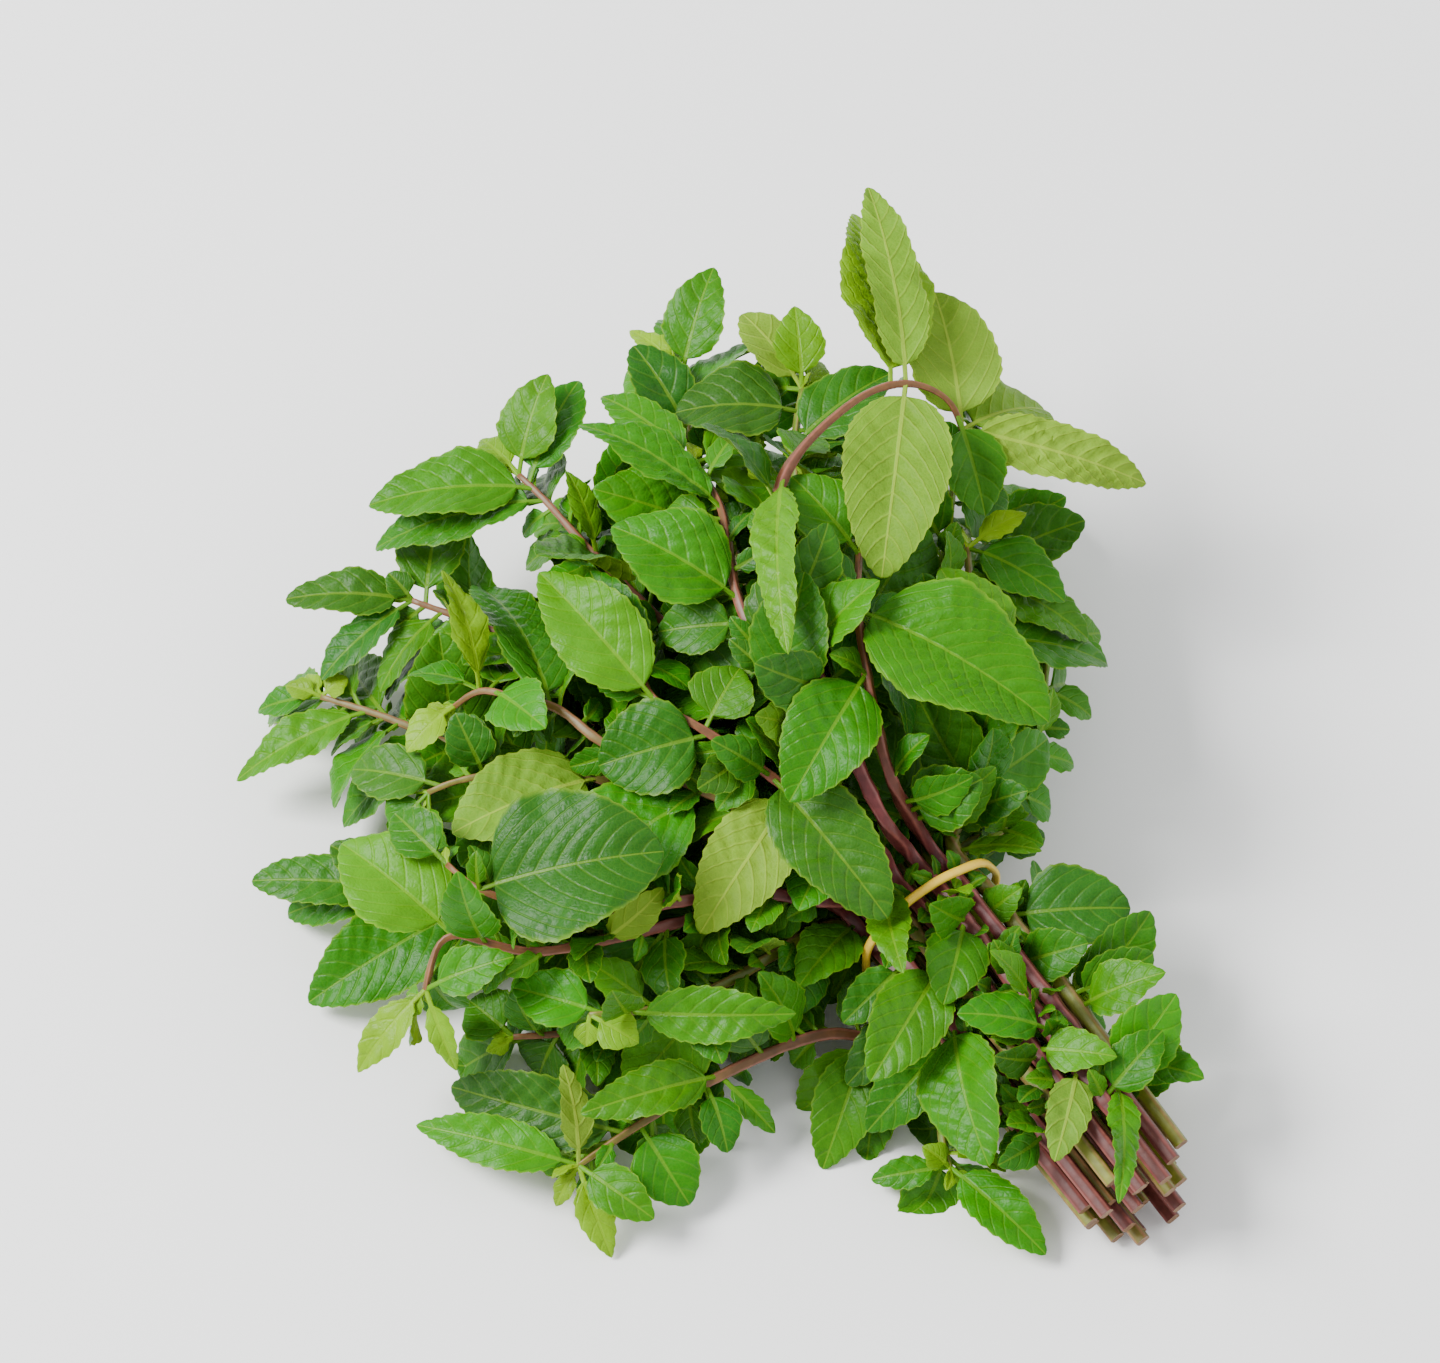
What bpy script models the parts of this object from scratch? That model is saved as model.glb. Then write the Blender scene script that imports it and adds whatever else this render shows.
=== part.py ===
"""A bunch of fresh mint, lying on its side and held by one rubber band.

Every leafy stem is one solid: a square stem with its leaves, in opposite pairs, fused to it.
The row frame has +Z up, +Y along the stems from the cut ends to the leafy tips, and its origin
under the middle of the bunch, on the surface that it lies on. Sizes are in millimetres until
a mesh is made.
"""

import math
import random

import bmesh
import bpy
import numpy as np
from mathutils import Vector
from mathutils.bvhtree import BVHTree

MM = 0.001

# The picture that the bunch is laid out from
MM_PER_PIXEL = 0.25
PICTURE_MIDDLE = (690, 718)
VIEW_AZIMUTH = math.radians(-36)
VIEW_ELEVATION = math.radians(62)
LINE_OF_SIGHT = Vector((
    -math.sin(VIEW_AZIMUTH) * math.cos(VIEW_ELEVATION),
    math.cos(VIEW_AZIMUTH) * math.cos(VIEW_ELEVATION),
    -math.sin(VIEW_ELEVATION),
))

# The band and the bundle of stems inside it
BAND_PICTURE_POINT = (930, 920)
BAND_HEIGHT = 23.0
BAND_RADIUS = 20.6
BAND_THICKNESS = 2.5
BAND_SEGMENTS = 28
BAND_SIDES = 6
STRAIGHT_RUN = 11.0
CUT_END_SPREAD = 0.92
CUT_END_DROP = 7.2

# The square stems
STEM_CORNER_AT_CUT = 2.15
STEM_CORNER_AT_TIP = 1.45
STEM_TAPER_POWER = 1.3
STEM_SAMPLE = 4.0
SAMPLES_PER_FACET = 5
STEM_SPACING = 5.4
STEM_LOWEST = 2.6
SPREADING_ROUNDS = 60
FIRST_SIDE = (0.3, 0.2, 1.0)

# The leaves
BLADE_THICKNESS = 0.7
STALK_THICKNESS = 1.1
STALK_HALF_WIDTH = 0.65
STALK_LENGTH = 4.2
STALK_MOST = 0.22
THREE_TEETH_FROM = 38.0
TOOTH_DEPTH = 0.10
FIRST_TOOTH = 0.13
LAST_TOOTH = 0.81
STALK_UNTIL = 0.5
WIDEST_POWER = 0.72
FULLNESS = 0.70
ARCH = 0.09
FOLD = 0.20
WAVE = 0.035
WAVES = 1.5
DROOP = 0.06
CLEARANCE = 0.35
OWN_ROOT_LENGTH = 4.4
LONGEST_ROOT_SHARE = 0.45
LOWEST_TIP = -13.0
SEED = 11

# Leaves face up, and lean a little away from a point in the middle of the fan
FAN_MIDDLE = 60.0
OUTWARD_LEAN = 0.35
LEAN_REACH = 30.0

# How far a leaf that the picture shows may give way: its tip's rise, its turn, then its size
SEEN_RISES = range(-26, 27, 2)
SEEN_TURNS = (0, 12, -12, 24, -24, 38, -38)
SEEN_SIZES = (1.0, 0.9, 0.78)
RISE_UNIT = 2
TURN_UNIT = 9
FALL_FAVOUR = 0.2
TURN_FAVOUR = 0.1
TIP_KEPT = 0.4

# Pairs of leaves that the picture hides: their places, lengths, angles and tries
AT_BAND = -1.5
PAIR_SPACING = 38.0
FIRST_PAIR = 24.0
TAKEN_NEAR = 0.4
LEAST_LENGTH = 30.0
LENGTH_SWELL = 17.0
SWELL_REACH = 1.15
LENGTH_SPREAD = (0.88, 1.1)
WIDTH_SHARES = (0.62, 0.78)
ODD_PAIR_ANGLE = 0.25 * math.pi
EVEN_PAIR_ANGLE = 0.75 * math.pi
PAIR_WOBBLE = 0.3
SPREAD_DEGREES = (38, 78)
MOST_TURN = 35
GROWN_TRIES = 48
TURN_PER_TRY = 0.05
SHRINK_PER_TRY = 0.008

# Points of a leaf, as shares of its length and half width, that may hide what the picture shows
HIDING_SPOTS = (
    (0.3, 0), (0.5, 0), (0.75, 0), (1, 0), (0.3, -0.85), (0.3, 0.85), (0.55, -0.85), (0.55, 0.85),
    (0.8, -0.5), (0.8, 0.5),
)

# Stretches of stem, by their places, that the picture shows bare
BARE_SAMPLES = 12
BARE_CORNER = 3.0
BARE_STRETCHES = {
    "arch": ((-1, 0.4), (2.6, 7)),
    "centre_right": ((-1, 0.5),),
    "crown_left": ((-1, 0.3),),
    "upper_left": ((3.3, 4.4),),
    "far_left": ((3.7, 5),),
    "mid_left": ((2.4, 3.4), (4, 6)),
    "front_left": ((4.6, 6),),
    "left": ((3.6, 5),),
    "trailing": ((0.8, 2.2),),
}

# Each leafy stem: where it passes the band (mm right of and above the band's middle) and how
# much of it stands below the band; the picture points with heights that it follows; and the
# leaves that the picture shows on it. A leaf is (place on the stem, picture point and height of
# its tip, width, turn about its own length in degrees). Places count along the picture points
# from 0, and -1, -2 and -3 are just past the band, just below it, and the cut end. A branch has
# the stem that it grows from and the place on it instead, and its own place -1 is its root.
SPRIGS = {
    "arch": (
        (2, 16), 94,
        ((880, 815, 58), (828, 700, 73), (776, 575, 83), (783, 478, 88), (850, 405, 90),
         (905, 384, 88), (948, 400, 82), (962, 430, 75)),
        ((5, 868, 186, 98, 16, 8), (5, 880, 580, 79, 28, 0), (7, 1148, 483, 60, 16, 25),
         (7, 935, 290, 86, 25, 0), (4.7, 854, 210, 84, 27, 0), (7, 1048, 408, 62, 22, 0),
         (6.5, 985, 515, 63, 17, 0), (3, 787, 655, 80, 13, 50), (-2, 940, 1000, 34, 17, 0),
         (-2.6, 1048, 1152, 34, 12, 0)),
    ),
    "centre_right": (
        (8, 13.5), 90,
        ((890, 780, 62), (868, 690, 74), (856, 612, 80), (858, 556, 78)),
        ((2, 1043, 722, 78, 36, 0), (1.2, 788, 800, 70, 24, 0), (2, 905, 738, 66, 20, -20),
         (3, 905, 515, 74, 15, 0), (1.4, 1035, 765, 60, 20, 0), (-2.72, 1108, 1190, 24, 9, 0)),
    ),
    "crown_left": (
        (-4.5, 15), 92,
        ((850, 812, 57), (785, 700, 69), (738, 600, 75), (722, 510, 74), (695, 464, 70)),
        ((2, 612, 528, 80, 27, 0), (3, 578, 425, 72, 16, 15), (4, 600, 395, 62, 13, 0),
         (-2.5, 1110, 1050, 42, 12, 0)),
    ),
    "centre": (
        (-3.5, 9), 90,
        ((842, 835, 48), (770, 775, 60), (705, 730, 66), (655, 700, 67), (640, 665, 65)),
        ((3, 540, 573, 72, 23, 0), (4, 690, 690, 72, 13, 0), (1.9, 600, 765, 60, 25, 0),
         (2, 740, 668, 70, 18, 0), (1, 885, 915, 52, 24, 0), (0.7, 700, 930, 48, 22, 20)),
    ),
    "mid_left": (
        (-9, 13.3), 86,
        ((805, 835, 50), (705, 790, 57), (608, 745, 61), (561, 709, 61), (515, 697, 58),
         (480, 690, 54), (456, 706, 50)),
        ((5, 442, 570, 60, 11, 45), (4.5, 548, 728, 58, 17, 0), (-1.2, 900, 968, 42, 12, 0),
         (6, 408, 752, 46, 11, 0), (3.2, 470, 580, 54, 24, 0), (-2.1, 868, 1075, 34, 20, 0),
         (-2.15, 975, 902, 46, 12, 0)),
    ),
    "big_leaf": (
        (-14, 7.5), 90,
        ((830, 900, 40), (740, 890, 47), (640, 905, 52), (550, 905, 56), (484, 886, 60),
         (452, 862, 58)),
        ((4, 665, 848, 72, 40, 0), (5, 398, 812, 54, 14, 0), (-2.27, 985, 1158, 24, 23, 0),
         (-1.95, 842, 1020, 26, 12, 0)),
    ),
    "crown_right": (
        (3, 9.3), 95,
        ((862, 760, 44), (822, 620, 55), (800, 510, 62), (795, 445, 64), (803, 388, 65)),
        ((3, 892, 372, 68, 19, 0), (3.6, 675, 412, 64, 25, 0), (4, 795, 303, 72, 14, 0),
         (4, 742, 310, 66, 15, 0), (-2.35, 1096, 1076, 36, 13, 0)),
    ),
    "front_left": (
        (-16, 1.5), 84,
        ((807, 888, 36), (709, 912, 42), (617, 934, 46), (533, 948, 47), (455, 930, 49),
         (437, 955, 45), (430, 985, 41)),
        ((4, 345, 842, 50, 27, 0), (6, 362, 1068, 26, 11, 0), (6, 460, 1066, 28, 7, 0),
         (6, 518, 952, 44, 13, 0), (-1.1, 797, 985, 33, 16, 0), (2.2, 664, 884, 58, 11, 45),
         (-2.3, 866, 1128, 10, 16, 0)),
    ),
    "upper_left": (
        (-5, 3), 92,
        ((850, 840, 34), (760, 720, 43), (660, 620, 50), (590, 550, 54), (545, 500, 56),
         (518, 474, 56)),
        ((5, 547, 372, 68, 17, 0), (4.4, 366, 505, 50, 22, 0), (4.6, 578, 378, 60, 18, 0),
         (5, 478, 437, 56, 9, 0), (5, 457, 454, 50, 9, 0), (4, 372, 548, 40, 18, 0),
         (2.9, 565, 470, 62, 9, 35)),
    ),
    "front": (
        (-15.5, -4), 86,
        ((812, 930, 27), (725, 980, 33), (655, 1004, 37), (620, 1008, 38), (592, 1010, 38)),
        ((2.6, 795, 1008, 43, 15, 20), (3.5, 515, 985, 34, 16, 0), (4, 640, 1038, 34, 12, 0),
         (4, 588, 1042, 32, 7, 0), (-1.9, 940, 1088, 18, 19, 0), (-2.1, 846, 1082, 14, 14, 0)),
    ),
    "top": (
        (0, 3.5), 88,
        ((848, 800, 34), (775, 640, 43), (715, 510, 51), (688, 430, 55), (682, 372, 56)),
        ((4, 714, 262, 66, 17, 0), (3, 632, 342, 54, 16, 0), (4, 628, 325, 52, 8, 0),
         (4, 662, 312, 54, 9, 0)),
    ),
    "left": (
        (-10.3, 3.3), 87,
        ((800, 880, 33), (700, 830, 40), (600, 778, 47), (520, 772, 47), (460, 780, 45),
         (430, 792, 42)),
        ((2, 455, 832, 48, 26, 0), (4.5, 352, 770, 34, 16, 0), (5, 395, 838, 38, 14, 0)),
    ),
    "right_top": (
        (14.3, 8), 86,
        ((968, 800, 43), (985, 690, 50), (972, 600, 54), (968, 548, 54)),
        ((-2.05, 1128, 907, 33, 23, 0), (3, 1065, 602, 52, 18, 0), (2.5, 1090, 640, 40, 17, 0),
         (3, 1028, 512, 56, 8, 0), (1.5, 1110, 665, 38, 18, 0), (-1.2, 1040, 850, 40, 8, 0)),
    ),
    "right_mid": (
        (8.5, 4.5), 93,
        ((925, 780, 40), (935, 660, 49), (945, 560, 54), (955, 480, 56)),
        ((3, 1000, 540, 44, 18, 0), (3, 925, 420, 62, 16, 0), (-1.95, 1020, 886, 38, 10, 0),
         (-2.2, 1084, 940, 28, 14, 0)),
    ),
    "right_low": (
        (16, 1), 80,
        ((1000, 830, 28), (1030, 755, 32), (1045, 690, 34), (1050, 640, 34)),
        ((2, 1094, 718, 26, 10, 0), (1, 1076, 766, 22, 9, 0), (0.5, 1052, 812, 20, 12, 0),
         (3, 1110, 664, 28, 11, 0), (0, 1043, 845, 30, 9, 0), (-2.4, 1094, 985, 20, 10, 0),
         (-2.6, 1110, 1045, 16, 8, 0)),
    ),
    "far_left_upper": (
        (-8.5, -2.5), 93,
        ((800, 840, 25), (700, 750, 30), (590, 680, 33), (490, 630, 35), (410, 600, 35)),
        ((4, 281, 599, 32, 14, 0), (4, 318, 680, 26, 12, 0), (4, 385, 572, 38, 8, 0),
         (3.6, 378, 692, 28, 13, 15)),
    ),
    "far_left": (
        (-6, -8.5), 96,
        ((780, 880, 17), (660, 830, 20), (540, 780, 23), (450, 745, 25), (385, 718, 25),
         (318, 697, 23)),
        ((5, 281, 686, 22, 7, 0), (5, 345, 678, 30, 9, 0), (5, 252, 712, 18, 9, 0),
         (4.3, 232, 782, 13, 13, 0)),
    ),
    "low_left": (
        (-9.5, -13.5), 90,
        ((812, 905, 13), (695, 930, 15), (570, 930, 17), (470, 905, 18), (400, 890, 18)),
        ((4, 250, 882, 14, 15, 0), (4, 285, 916, 10, 15, 0), (3, 308, 1003, 5, 24, 0),
         (4, 330, 845, 20, 13, 0)),
    ),
    "low_front": (
        (-13.8, -9.2), 85,
        ((802, 932, 13), (700, 985, 14), (610, 1020, 15), (560, 1032, 15), (515, 1035, 15)),
        ((4, 470, 1000, 14, 16, 0), (3, 540, 1075, 8, 16, 0), (-2.5, 908, 1142, -8, 15, 0)),
    ),
    "trailing": (
        "low_front", -2.25,
        ((885, 1040, 13), (820, 1032, 19), (720, 1072, 20), (640, 1120, 16), (580, 1160, 13)),
        ((4, 418, 1122, 9, 14, 0), (4, 565, 1060, 26, 9, 30), (4, 655, 1212, 12, 13, 0),
         (4, 613, 1252, 5, 10, 0), (3.2, 452, 1085, 8, 19, 0), (3, 690, 1200, 6, 18, 0),
         (2, 582, 1108, 16, 14, 0), (2, 775, 1130, 8, 7, 0), (0.3, 822, 1167, 4, 17, 0),
         (1, 792, 1064, 14, 8, 0), (0, 866, 1164, 5, 15, 0)),
    ),
    "side_shoot": (
        "front", -2.45,
        ((945, 1100, 12), (940, 1135, 9), (948, 1163, 7)),
        ((2, 1042, 1248, 5, 14, 0), (2, 870, 1176, 4, 9, 0), (2, 920, 1142, 12, 8, 0)),
    ),
    "under_back": (
        (6, -2.5), 96,
        ((880, 800, 22), (830, 660, 27), (780, 540, 31), (750, 450, 33)),
        (),
    ),
    "under_left": (
        (-3.5, -14.8), 92,
        ((820, 900, 9), (700, 820, 10), (580, 720, 11), (480, 640, 13)),
        (),
    ),
    "under_mid": (
        (0.5, -8.5), 88,
        ((850, 860, 12), (770, 740, 14), (690, 620, 16), (620, 530, 18)),
        (),
    ),
    "under_right": (
        (6, -13.5), 94,
        ((910, 830, 11), (900, 700, 14), (880, 590, 17), (870, 500, 19)),
        (),
    ),
    "under_edge": (
        (13, -8), 84,
        ((960, 830, 15), (970, 720, 19), (975, 620, 22), (990, 540, 24)),
        ((-2.3, 1104, 1030, 12, 14, 0),),
    ),
}


def unit(vector):
    return vector / np.linalg.norm(vector)


def spot(x, y, height):
    """The point of the row frame at a height above the surface that shows at picture point x, y."""
    right = (x - PICTURE_MIDDLE[0]) * MM_PER_PIXEL
    up = (PICTURE_MIDDLE[1] - y) * MM_PER_PIXEL
    away = (up - height * math.cos(VIEW_ELEVATION)) / math.sin(VIEW_ELEVATION)
    cos, sin = math.cos(VIEW_AZIMUTH), math.sin(VIEW_AZIMUTH)
    return np.array([right * cos - away * sin, right * sin + away * cos, height])


BAND_MIDDLE = spot(*BAND_PICTURE_POINT, BAND_HEIGHT)


def on_curve(points, place):
    """A point on the Catmull-Rom curve through the points, place counting from the first one."""
    last = len(points) - 1
    i = min(int(place), last - 1)
    t = place - i
    p1, p2 = points[i], points[i + 1]
    p0 = points[i - 1] if i else 2 * p1 - p2
    p3 = points[i + 2] if i + 2 <= last else 2 * p2 - p1
    return 0.5 * (
        2 * p1
        + (p2 - p0) * t
        + (2 * p0 - 5 * p1 + 4 * p2 - p3) * t**2
        + (3 * p1 - p0 - 3 * p2 + p3) * t**3
    )


class Stem:
    """A stem as closely spaced samples along a smooth curve, each with its place, and its leaves."""

    def __init__(self, node, points, first_place):
        self.node = node
        self.leaves = []
        places = [0.0]
        for i in range(len(points) - 1):
            parts = math.ceil(np.linalg.norm(points[i + 1] - points[i]) / STEM_SAMPLE)
            places += [i + (k + 1) / parts for k in range(parts)]
        self.line = np.array([on_curve(points, place) for place in places])
        self.places = np.array(places) + first_place

    def at(self, place):
        return np.array([np.interp(place, self.places, self.line[:, axis]) for axis in range(3)])

    def distances(self):
        gaps = np.linalg.norm(np.diff(self.line, axis=0), axis=1)
        return np.concatenate([[0], np.cumsum(gaps)])

    def facets(self):
        """The few points and corner radii that the solid's facets run between."""
        count = max(2, round((len(self.line) - 1) / SAMPLES_PER_FACET) + 1)
        kept = np.linspace(0, len(self.line) - 1, count).round().astype(int)
        share = self.distances()[kept] / self.distances()[-1]
        shrink = STEM_CORNER_AT_CUT - STEM_CORNER_AT_TIP
        return self.line[kept], STEM_CORNER_AT_CUT - shrink * share**STEM_TAPER_POWER


def lay_stems():
    """{name: Stem}: each from its cut end straight through the band, then along its own route."""
    stems = {}
    for name, (start, more, route, _) in SPRIGS.items():
        points = [spot(*point) for point in route]
        if start in SPRIGS:
            stems[name] = Stem(start, [stems[start].at(more)] + points, -1)
            continue
        right, up = start
        inside = BAND_MIDDLE + np.array([right, 0, up])
        run = np.array([0, STRAIGHT_RUN, 0])
        cut = np.array([right * CUT_END_SPREAD, -more, up * CUT_END_SPREAD - CUT_END_DROP])
        points = [BAND_MIDDLE + cut, inside - run, inside + run] + points
        stems[name] = Stem(name, points, -3)
    bend_clear(list(stems.values()))
    return stems


def bend_clear(stems):
    """Bends the stems clear of each other past the band: samples of two stems that are closer
    than the spacing push each other apart, and each stem's shifts are smoothed along it."""
    owner = np.concatenate([np.full(len(stem.line), i) for i, stem in enumerate(stems)])
    node = np.array([stem.node for stem in stems])[owner]
    free = np.concatenate([np.clip(stem.places + 1, 0, 1) for stem in stems])
    spots = np.concatenate([stem.line for stem in stems])
    strangers = node[:, None] != node[None]
    for _ in range(SPREADING_ROUNDS):
        between = spots[:, None] - spots[None]
        gap = np.linalg.norm(between, axis=2) + 1e-6
        push = np.where(strangers & (gap < STEM_SPACING), (STEM_SPACING - gap) / gap, 0)
        touching = np.maximum((push > 0).sum(axis=1), 1)
        shift = (between * push[..., None]).sum(axis=1) / touching[:, None]
        for i in range(len(stems)):
            mine = np.flatnonzero(owner == i)
            ends = np.concatenate([mine[:1], mine, mine[-1:]])
            shift[mine] = 0.5 * shift[mine] + 0.25 * (shift[ends[:-2]] + shift[ends[2:]])
        spots = spots + shift * free[:, None]
        spots[:, 2] = np.maximum(spots[:, 2], STEM_LOWEST)
    for i, stem in enumerate(stems):
        stem.line = spots[owner == i]


def square_tube(line, corners, extra=0.0):
    """(points, faces) of a square stem along a line, closed flat at both ends."""
    tangents = np.gradient(line, axis=0)
    side = np.cross(tangents[0], FIRST_SIDE)
    rings = []
    for point, tangent, corner in zip(line, tangents, corners):
        forward = unit(tangent)
        side = unit(side - forward * (side @ forward))
        other = np.cross(forward, side)
        rings.append([point + (corner + extra) * arm for arm in (side, other, -side, -other)])
    faces = []
    for i in range(len(line) - 1):
        for k in range(4):
            a, b = 4 * i + k, 4 * i + (k + 1) % 4
            faces += [(a, b, b + 4), (a, b + 4, a + 4)]
    last = 4 * (len(line) - 1)
    faces += [(0, 2, 1), (0, 3, 2), (last, last + 1, last + 2), (last, last + 2, last + 3)]
    return np.array(rings).reshape(-1, 3), faces


def outline(share):
    """Half the blade's width, as a share of its greatest, at a share of its length past the stalk."""
    if not 0 < share < 1:
        return 0.0
    return math.sin(math.pi * share**WIDEST_POWER) ** FULLNESS


def zip_chains(a, a_shares, b, b_shares):
    """Triangles between two chains of points that run the same way and end at the same point."""
    faces, i, j = [], 0, 0
    while i < len(a) - 2 or j < len(b) - 2:
        if j == len(b) - 2 or (i < len(a) - 2 and a_shares[i + 1] <= b_shares[j + 1]):
            faces.append((a[i], b[j], a[i + 1]))
            i += 1
        else:
            faces.append((a[i], b[j], b[j + 1]))
            j += 1
    faces.append((a[i], b[j], a[-1]))
    return faces


def teeth_on(length):
    """Teeth on each side of a blade, fewer on a smaller one."""
    if length > THREE_TEETH_FROM:
        return 3
    return 2


def blade(leaf, extra=0.0, cut_off=0.0):
    """(points, faces) of one leaf: a short stalk and a toothed blade that arches along its rib,
    folds up a little on both sides of it and waves, and lies along the surface where it would
    go below it. Both faces are split into triangles alike.
    extra thickens it, and cut_off leaves out that much of its length at the root."""
    root, tip, normal, width, phase = leaf
    along = tip - root
    length = np.linalg.norm(along)
    along = along / length
    across = np.cross(along, normal)
    stalk = min(STALK_LENGTH / length, STALK_MOST)
    start = min(cut_off / length, LONGEST_ROOT_SHARE)
    teeth = teeth_on(length)
    notches = 2 * teeth - 1
    side_shares = [start] if start else [0.0, stalk]
    side_cuts = [1.0] * len(side_shares)
    for k in range(notches):
        share = stalk + (1 - stalk) * (FIRST_TOOTH + (LAST_TOOTH - FIRST_TOOTH) * k / (notches - 1))
        if share > start:
            side_shares.append(share)
            side_cuts.append(1.0 if (k + teeth) % 2 else 1.0 - TOOTH_DEPTH)
    rib_shares = [k / teeth for k in range(1, teeth) if k / teeth > start]

    def surface(share, side, cut):
        full = outline((share - stalk) / (1 - stalk))
        half = max(width / 2 * full * cut, STALK_HALF_WIDTH if share < STALK_UNTIL else 0.0)
        lift = ARCH * length * 4 * share * (1 - share) + FOLD * half * abs(side)
        ripple = math.sin(2 * math.pi * WAVES * share + phase + side)
        lift += WAVE * length * ripple * abs(side) * full
        return root + along * (length * share) + across * (half * side) + normal * lift

    rib = [surface(share, 0, 1) for share in rib_shares]
    left = [surface(share, -1, cut) for share, cut in zip(side_shares, side_cuts)]
    right = [surface(share, 1, cut) for share, cut in zip(side_shares, side_cuts)]
    sheet = np.array(rib + left + right + [surface(1.0, 0, 1)])
    shares = np.array(rib_shares + side_shares + side_shares + [1.0])
    thick = np.where(shares <= stalk, STALK_THICKNESS, BLADE_THICKNESS)[:, None] / 2
    lowest = sheet[:, 2] - np.abs(normal[2] * thick[:, 0])
    sheet[:, 2] -= np.minimum(lowest, 0)
    offset = normal * (thick + extra)

    end = len(sheet) - 1
    ribs = [*range(len(rib)), end]
    lefts = [*range(len(rib), len(rib) + len(left)), end]
    rights = [*range(len(rib) + len(left), end), end]
    upper = []
    if not start:
        upper = [(lefts[0], rights[0], rights[1]), (lefts[0], rights[1], lefts[1])]
    base = 0 if start else 1
    upper.append((lefts[base], rights[base], ribs[0]))
    upper += zip_chains(lefts[base:], side_shares[base:], ribs, rib_shares)
    mirrored = zip_chains(rights[base:], side_shares[base:], ribs, rib_shares)
    upper += [(b, a, c) for a, b, c in mirrored]
    edge = [lefts[0]] + rights + lefts[-2:0:-1]
    size = len(sheet)
    faces = list(upper)
    faces += [(c + size, b + size, a + size) for a, b, c in upper]
    for a, b in zip(edge, edge[1:] + edge[:1]):
        faces += [(a + size, b + size, b), (a + size, b, a)]
    return np.concatenate([sheet + offset, sheet - offset]), faces


class Thicket:
    """All the stems and leaves placed so far, and whether a new one would touch them. Leaves of
    one node may meet near their roots."""

    def __init__(self):
        self.things = []

    def add(self, node, solid, beyond_root):
        trees = [BVHTree.FromPolygons(part[0].tolist(), part[1]) for part in (solid, beyond_root)]
        self.things.append((node, solid[0].min(axis=0), solid[0].max(axis=0), *trees))

    def touches(self, node, solid, beyond_root):
        whole = BVHTree.FromPolygons(solid[0].tolist(), solid[1])
        trimmed = BVHTree.FromPolygons(beyond_root[0].tolist(), beyond_root[1])
        low, high = solid[0].min(axis=0), solid[0].max(axis=0)
        for other, other_low, other_high, tree, other_trimmed in self.things:
            if (low > other_high).any() or (high < other_low).any():
                continue
            if other == node and other_trimmed.overlap(trimmed):
                return True
            if other != node and tree.overlap(whole):
                return True
        return False

    def try_leaf(self, node, leaf):
        """Adds the leaf and says so, if it is clear of everything."""
        solid = blade(leaf, CLEARANCE)
        beyond_root = blade(leaf, CLEARANCE, OWN_ROOT_LENGTH)
        if self.touches(node, solid, beyond_root):
            return False
        self.add(node, solid, beyond_root)
        return True


def leaf_at(root, tip, width, turn, phase):
    """A leaf that faces up and outwards, turned about its own length by turn degrees."""
    along = unit(tip - root)
    outward = (root - BAND_MIDDLE - np.array([0, FAN_MIDDLE, 0])) * np.array([1, 1, 0])
    lean = OUTWARD_LEAN / (np.linalg.norm(outward) + LEAN_REACH)
    facing = np.array([0, 0, 1.0]) + lean * outward
    normal = unit(facing - along * (facing @ along))
    side = np.cross(along, normal)
    angle = math.radians(turn)
    return root, tip, normal * math.cos(angle) + side * math.sin(angle), width, phase


def giving_way(change):
    """How far a seen leaf gives way by a rise and a turn. A fall counts a little less."""
    rise, turn = change
    return abs(rise + FALL_FAVOUR) / RISE_UNIT + abs(turn + TURN_FAVOUR) / TURN_UNIT


def place_seen_leaf(thicket, stem, seen, draw):
    """A leaf that the picture shows: where its own place is taken, its tip moves along the line
    of sight and it turns about its length, by as little as will do."""
    place, x, y, height, width, turn = seen
    root = stem.at(place)
    phase = draw.uniform(0, 2 * math.pi)
    tries = sorted(((rise, more) for rise in SEEN_RISES for more in SEEN_TURNS), key=giving_way)
    for size in SEEN_SIZES:
        for rise, more in tries:
            far_tip = spot(x, y, max(height + rise, LOWEST_TIP))
            tip = root + (far_tip - root) * (TIP_KEPT + (1 - TIP_KEPT) * size)
            leaf = leaf_at(root, tip, width * size, turn + more, phase)
            if thicket.try_leaf(stem.node, leaf):
                stem.leaves.append(leaf)
                return


def hides(leaf, shown):
    """Whether a leaf would stand before something that the picture shows."""
    root, tip, normal, width, _ = leaf
    along = tip - root
    across = np.cross(unit(along), normal) * width / 2
    points = [root + along * share + across * side for share, side in HIDING_SPOTS]
    return any(shown.ray_cast(Vector(point), LINE_OF_SIGHT)[0] is not None for point in points)


def place_grown_leaf(thicket, shown, stem, root, forward, angle, length, draw):
    """A leaf that the picture hides: it grows forward and outwards at an angle about the stem,
    and is turned and at last shortened until it is clear, and hides nothing shown."""
    across = unit(np.cross(forward, [0, 0, 1.0]))
    up = np.cross(across, forward)
    phase = draw.uniform(0, 2 * math.pi)
    for attempt in range(GROWN_TRIES):
        turn = angle + draw.uniform(-1, 1) * TURN_PER_TRY * attempt
        spread = math.radians(draw.uniform(*SPREAD_DEGREES))
        size = length * (1 - SHRINK_PER_TRY * attempt)
        outward = math.cos(turn) * across + math.sin(turn) * up
        tip = root + (math.cos(spread) * forward + math.sin(spread) * outward) * size
        tip[2] = max(tip[2] - DROOP * size, LOWEST_TIP)
        width = size * draw.uniform(*WIDTH_SHARES)
        leaf = leaf_at(root, tip, width, draw.uniform(-MOST_TURN, MOST_TURN), phase)
        if not hides(leaf, shown) and thicket.try_leaf(stem.node, leaf):
            stem.leaves.append(leaf)
            return


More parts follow.
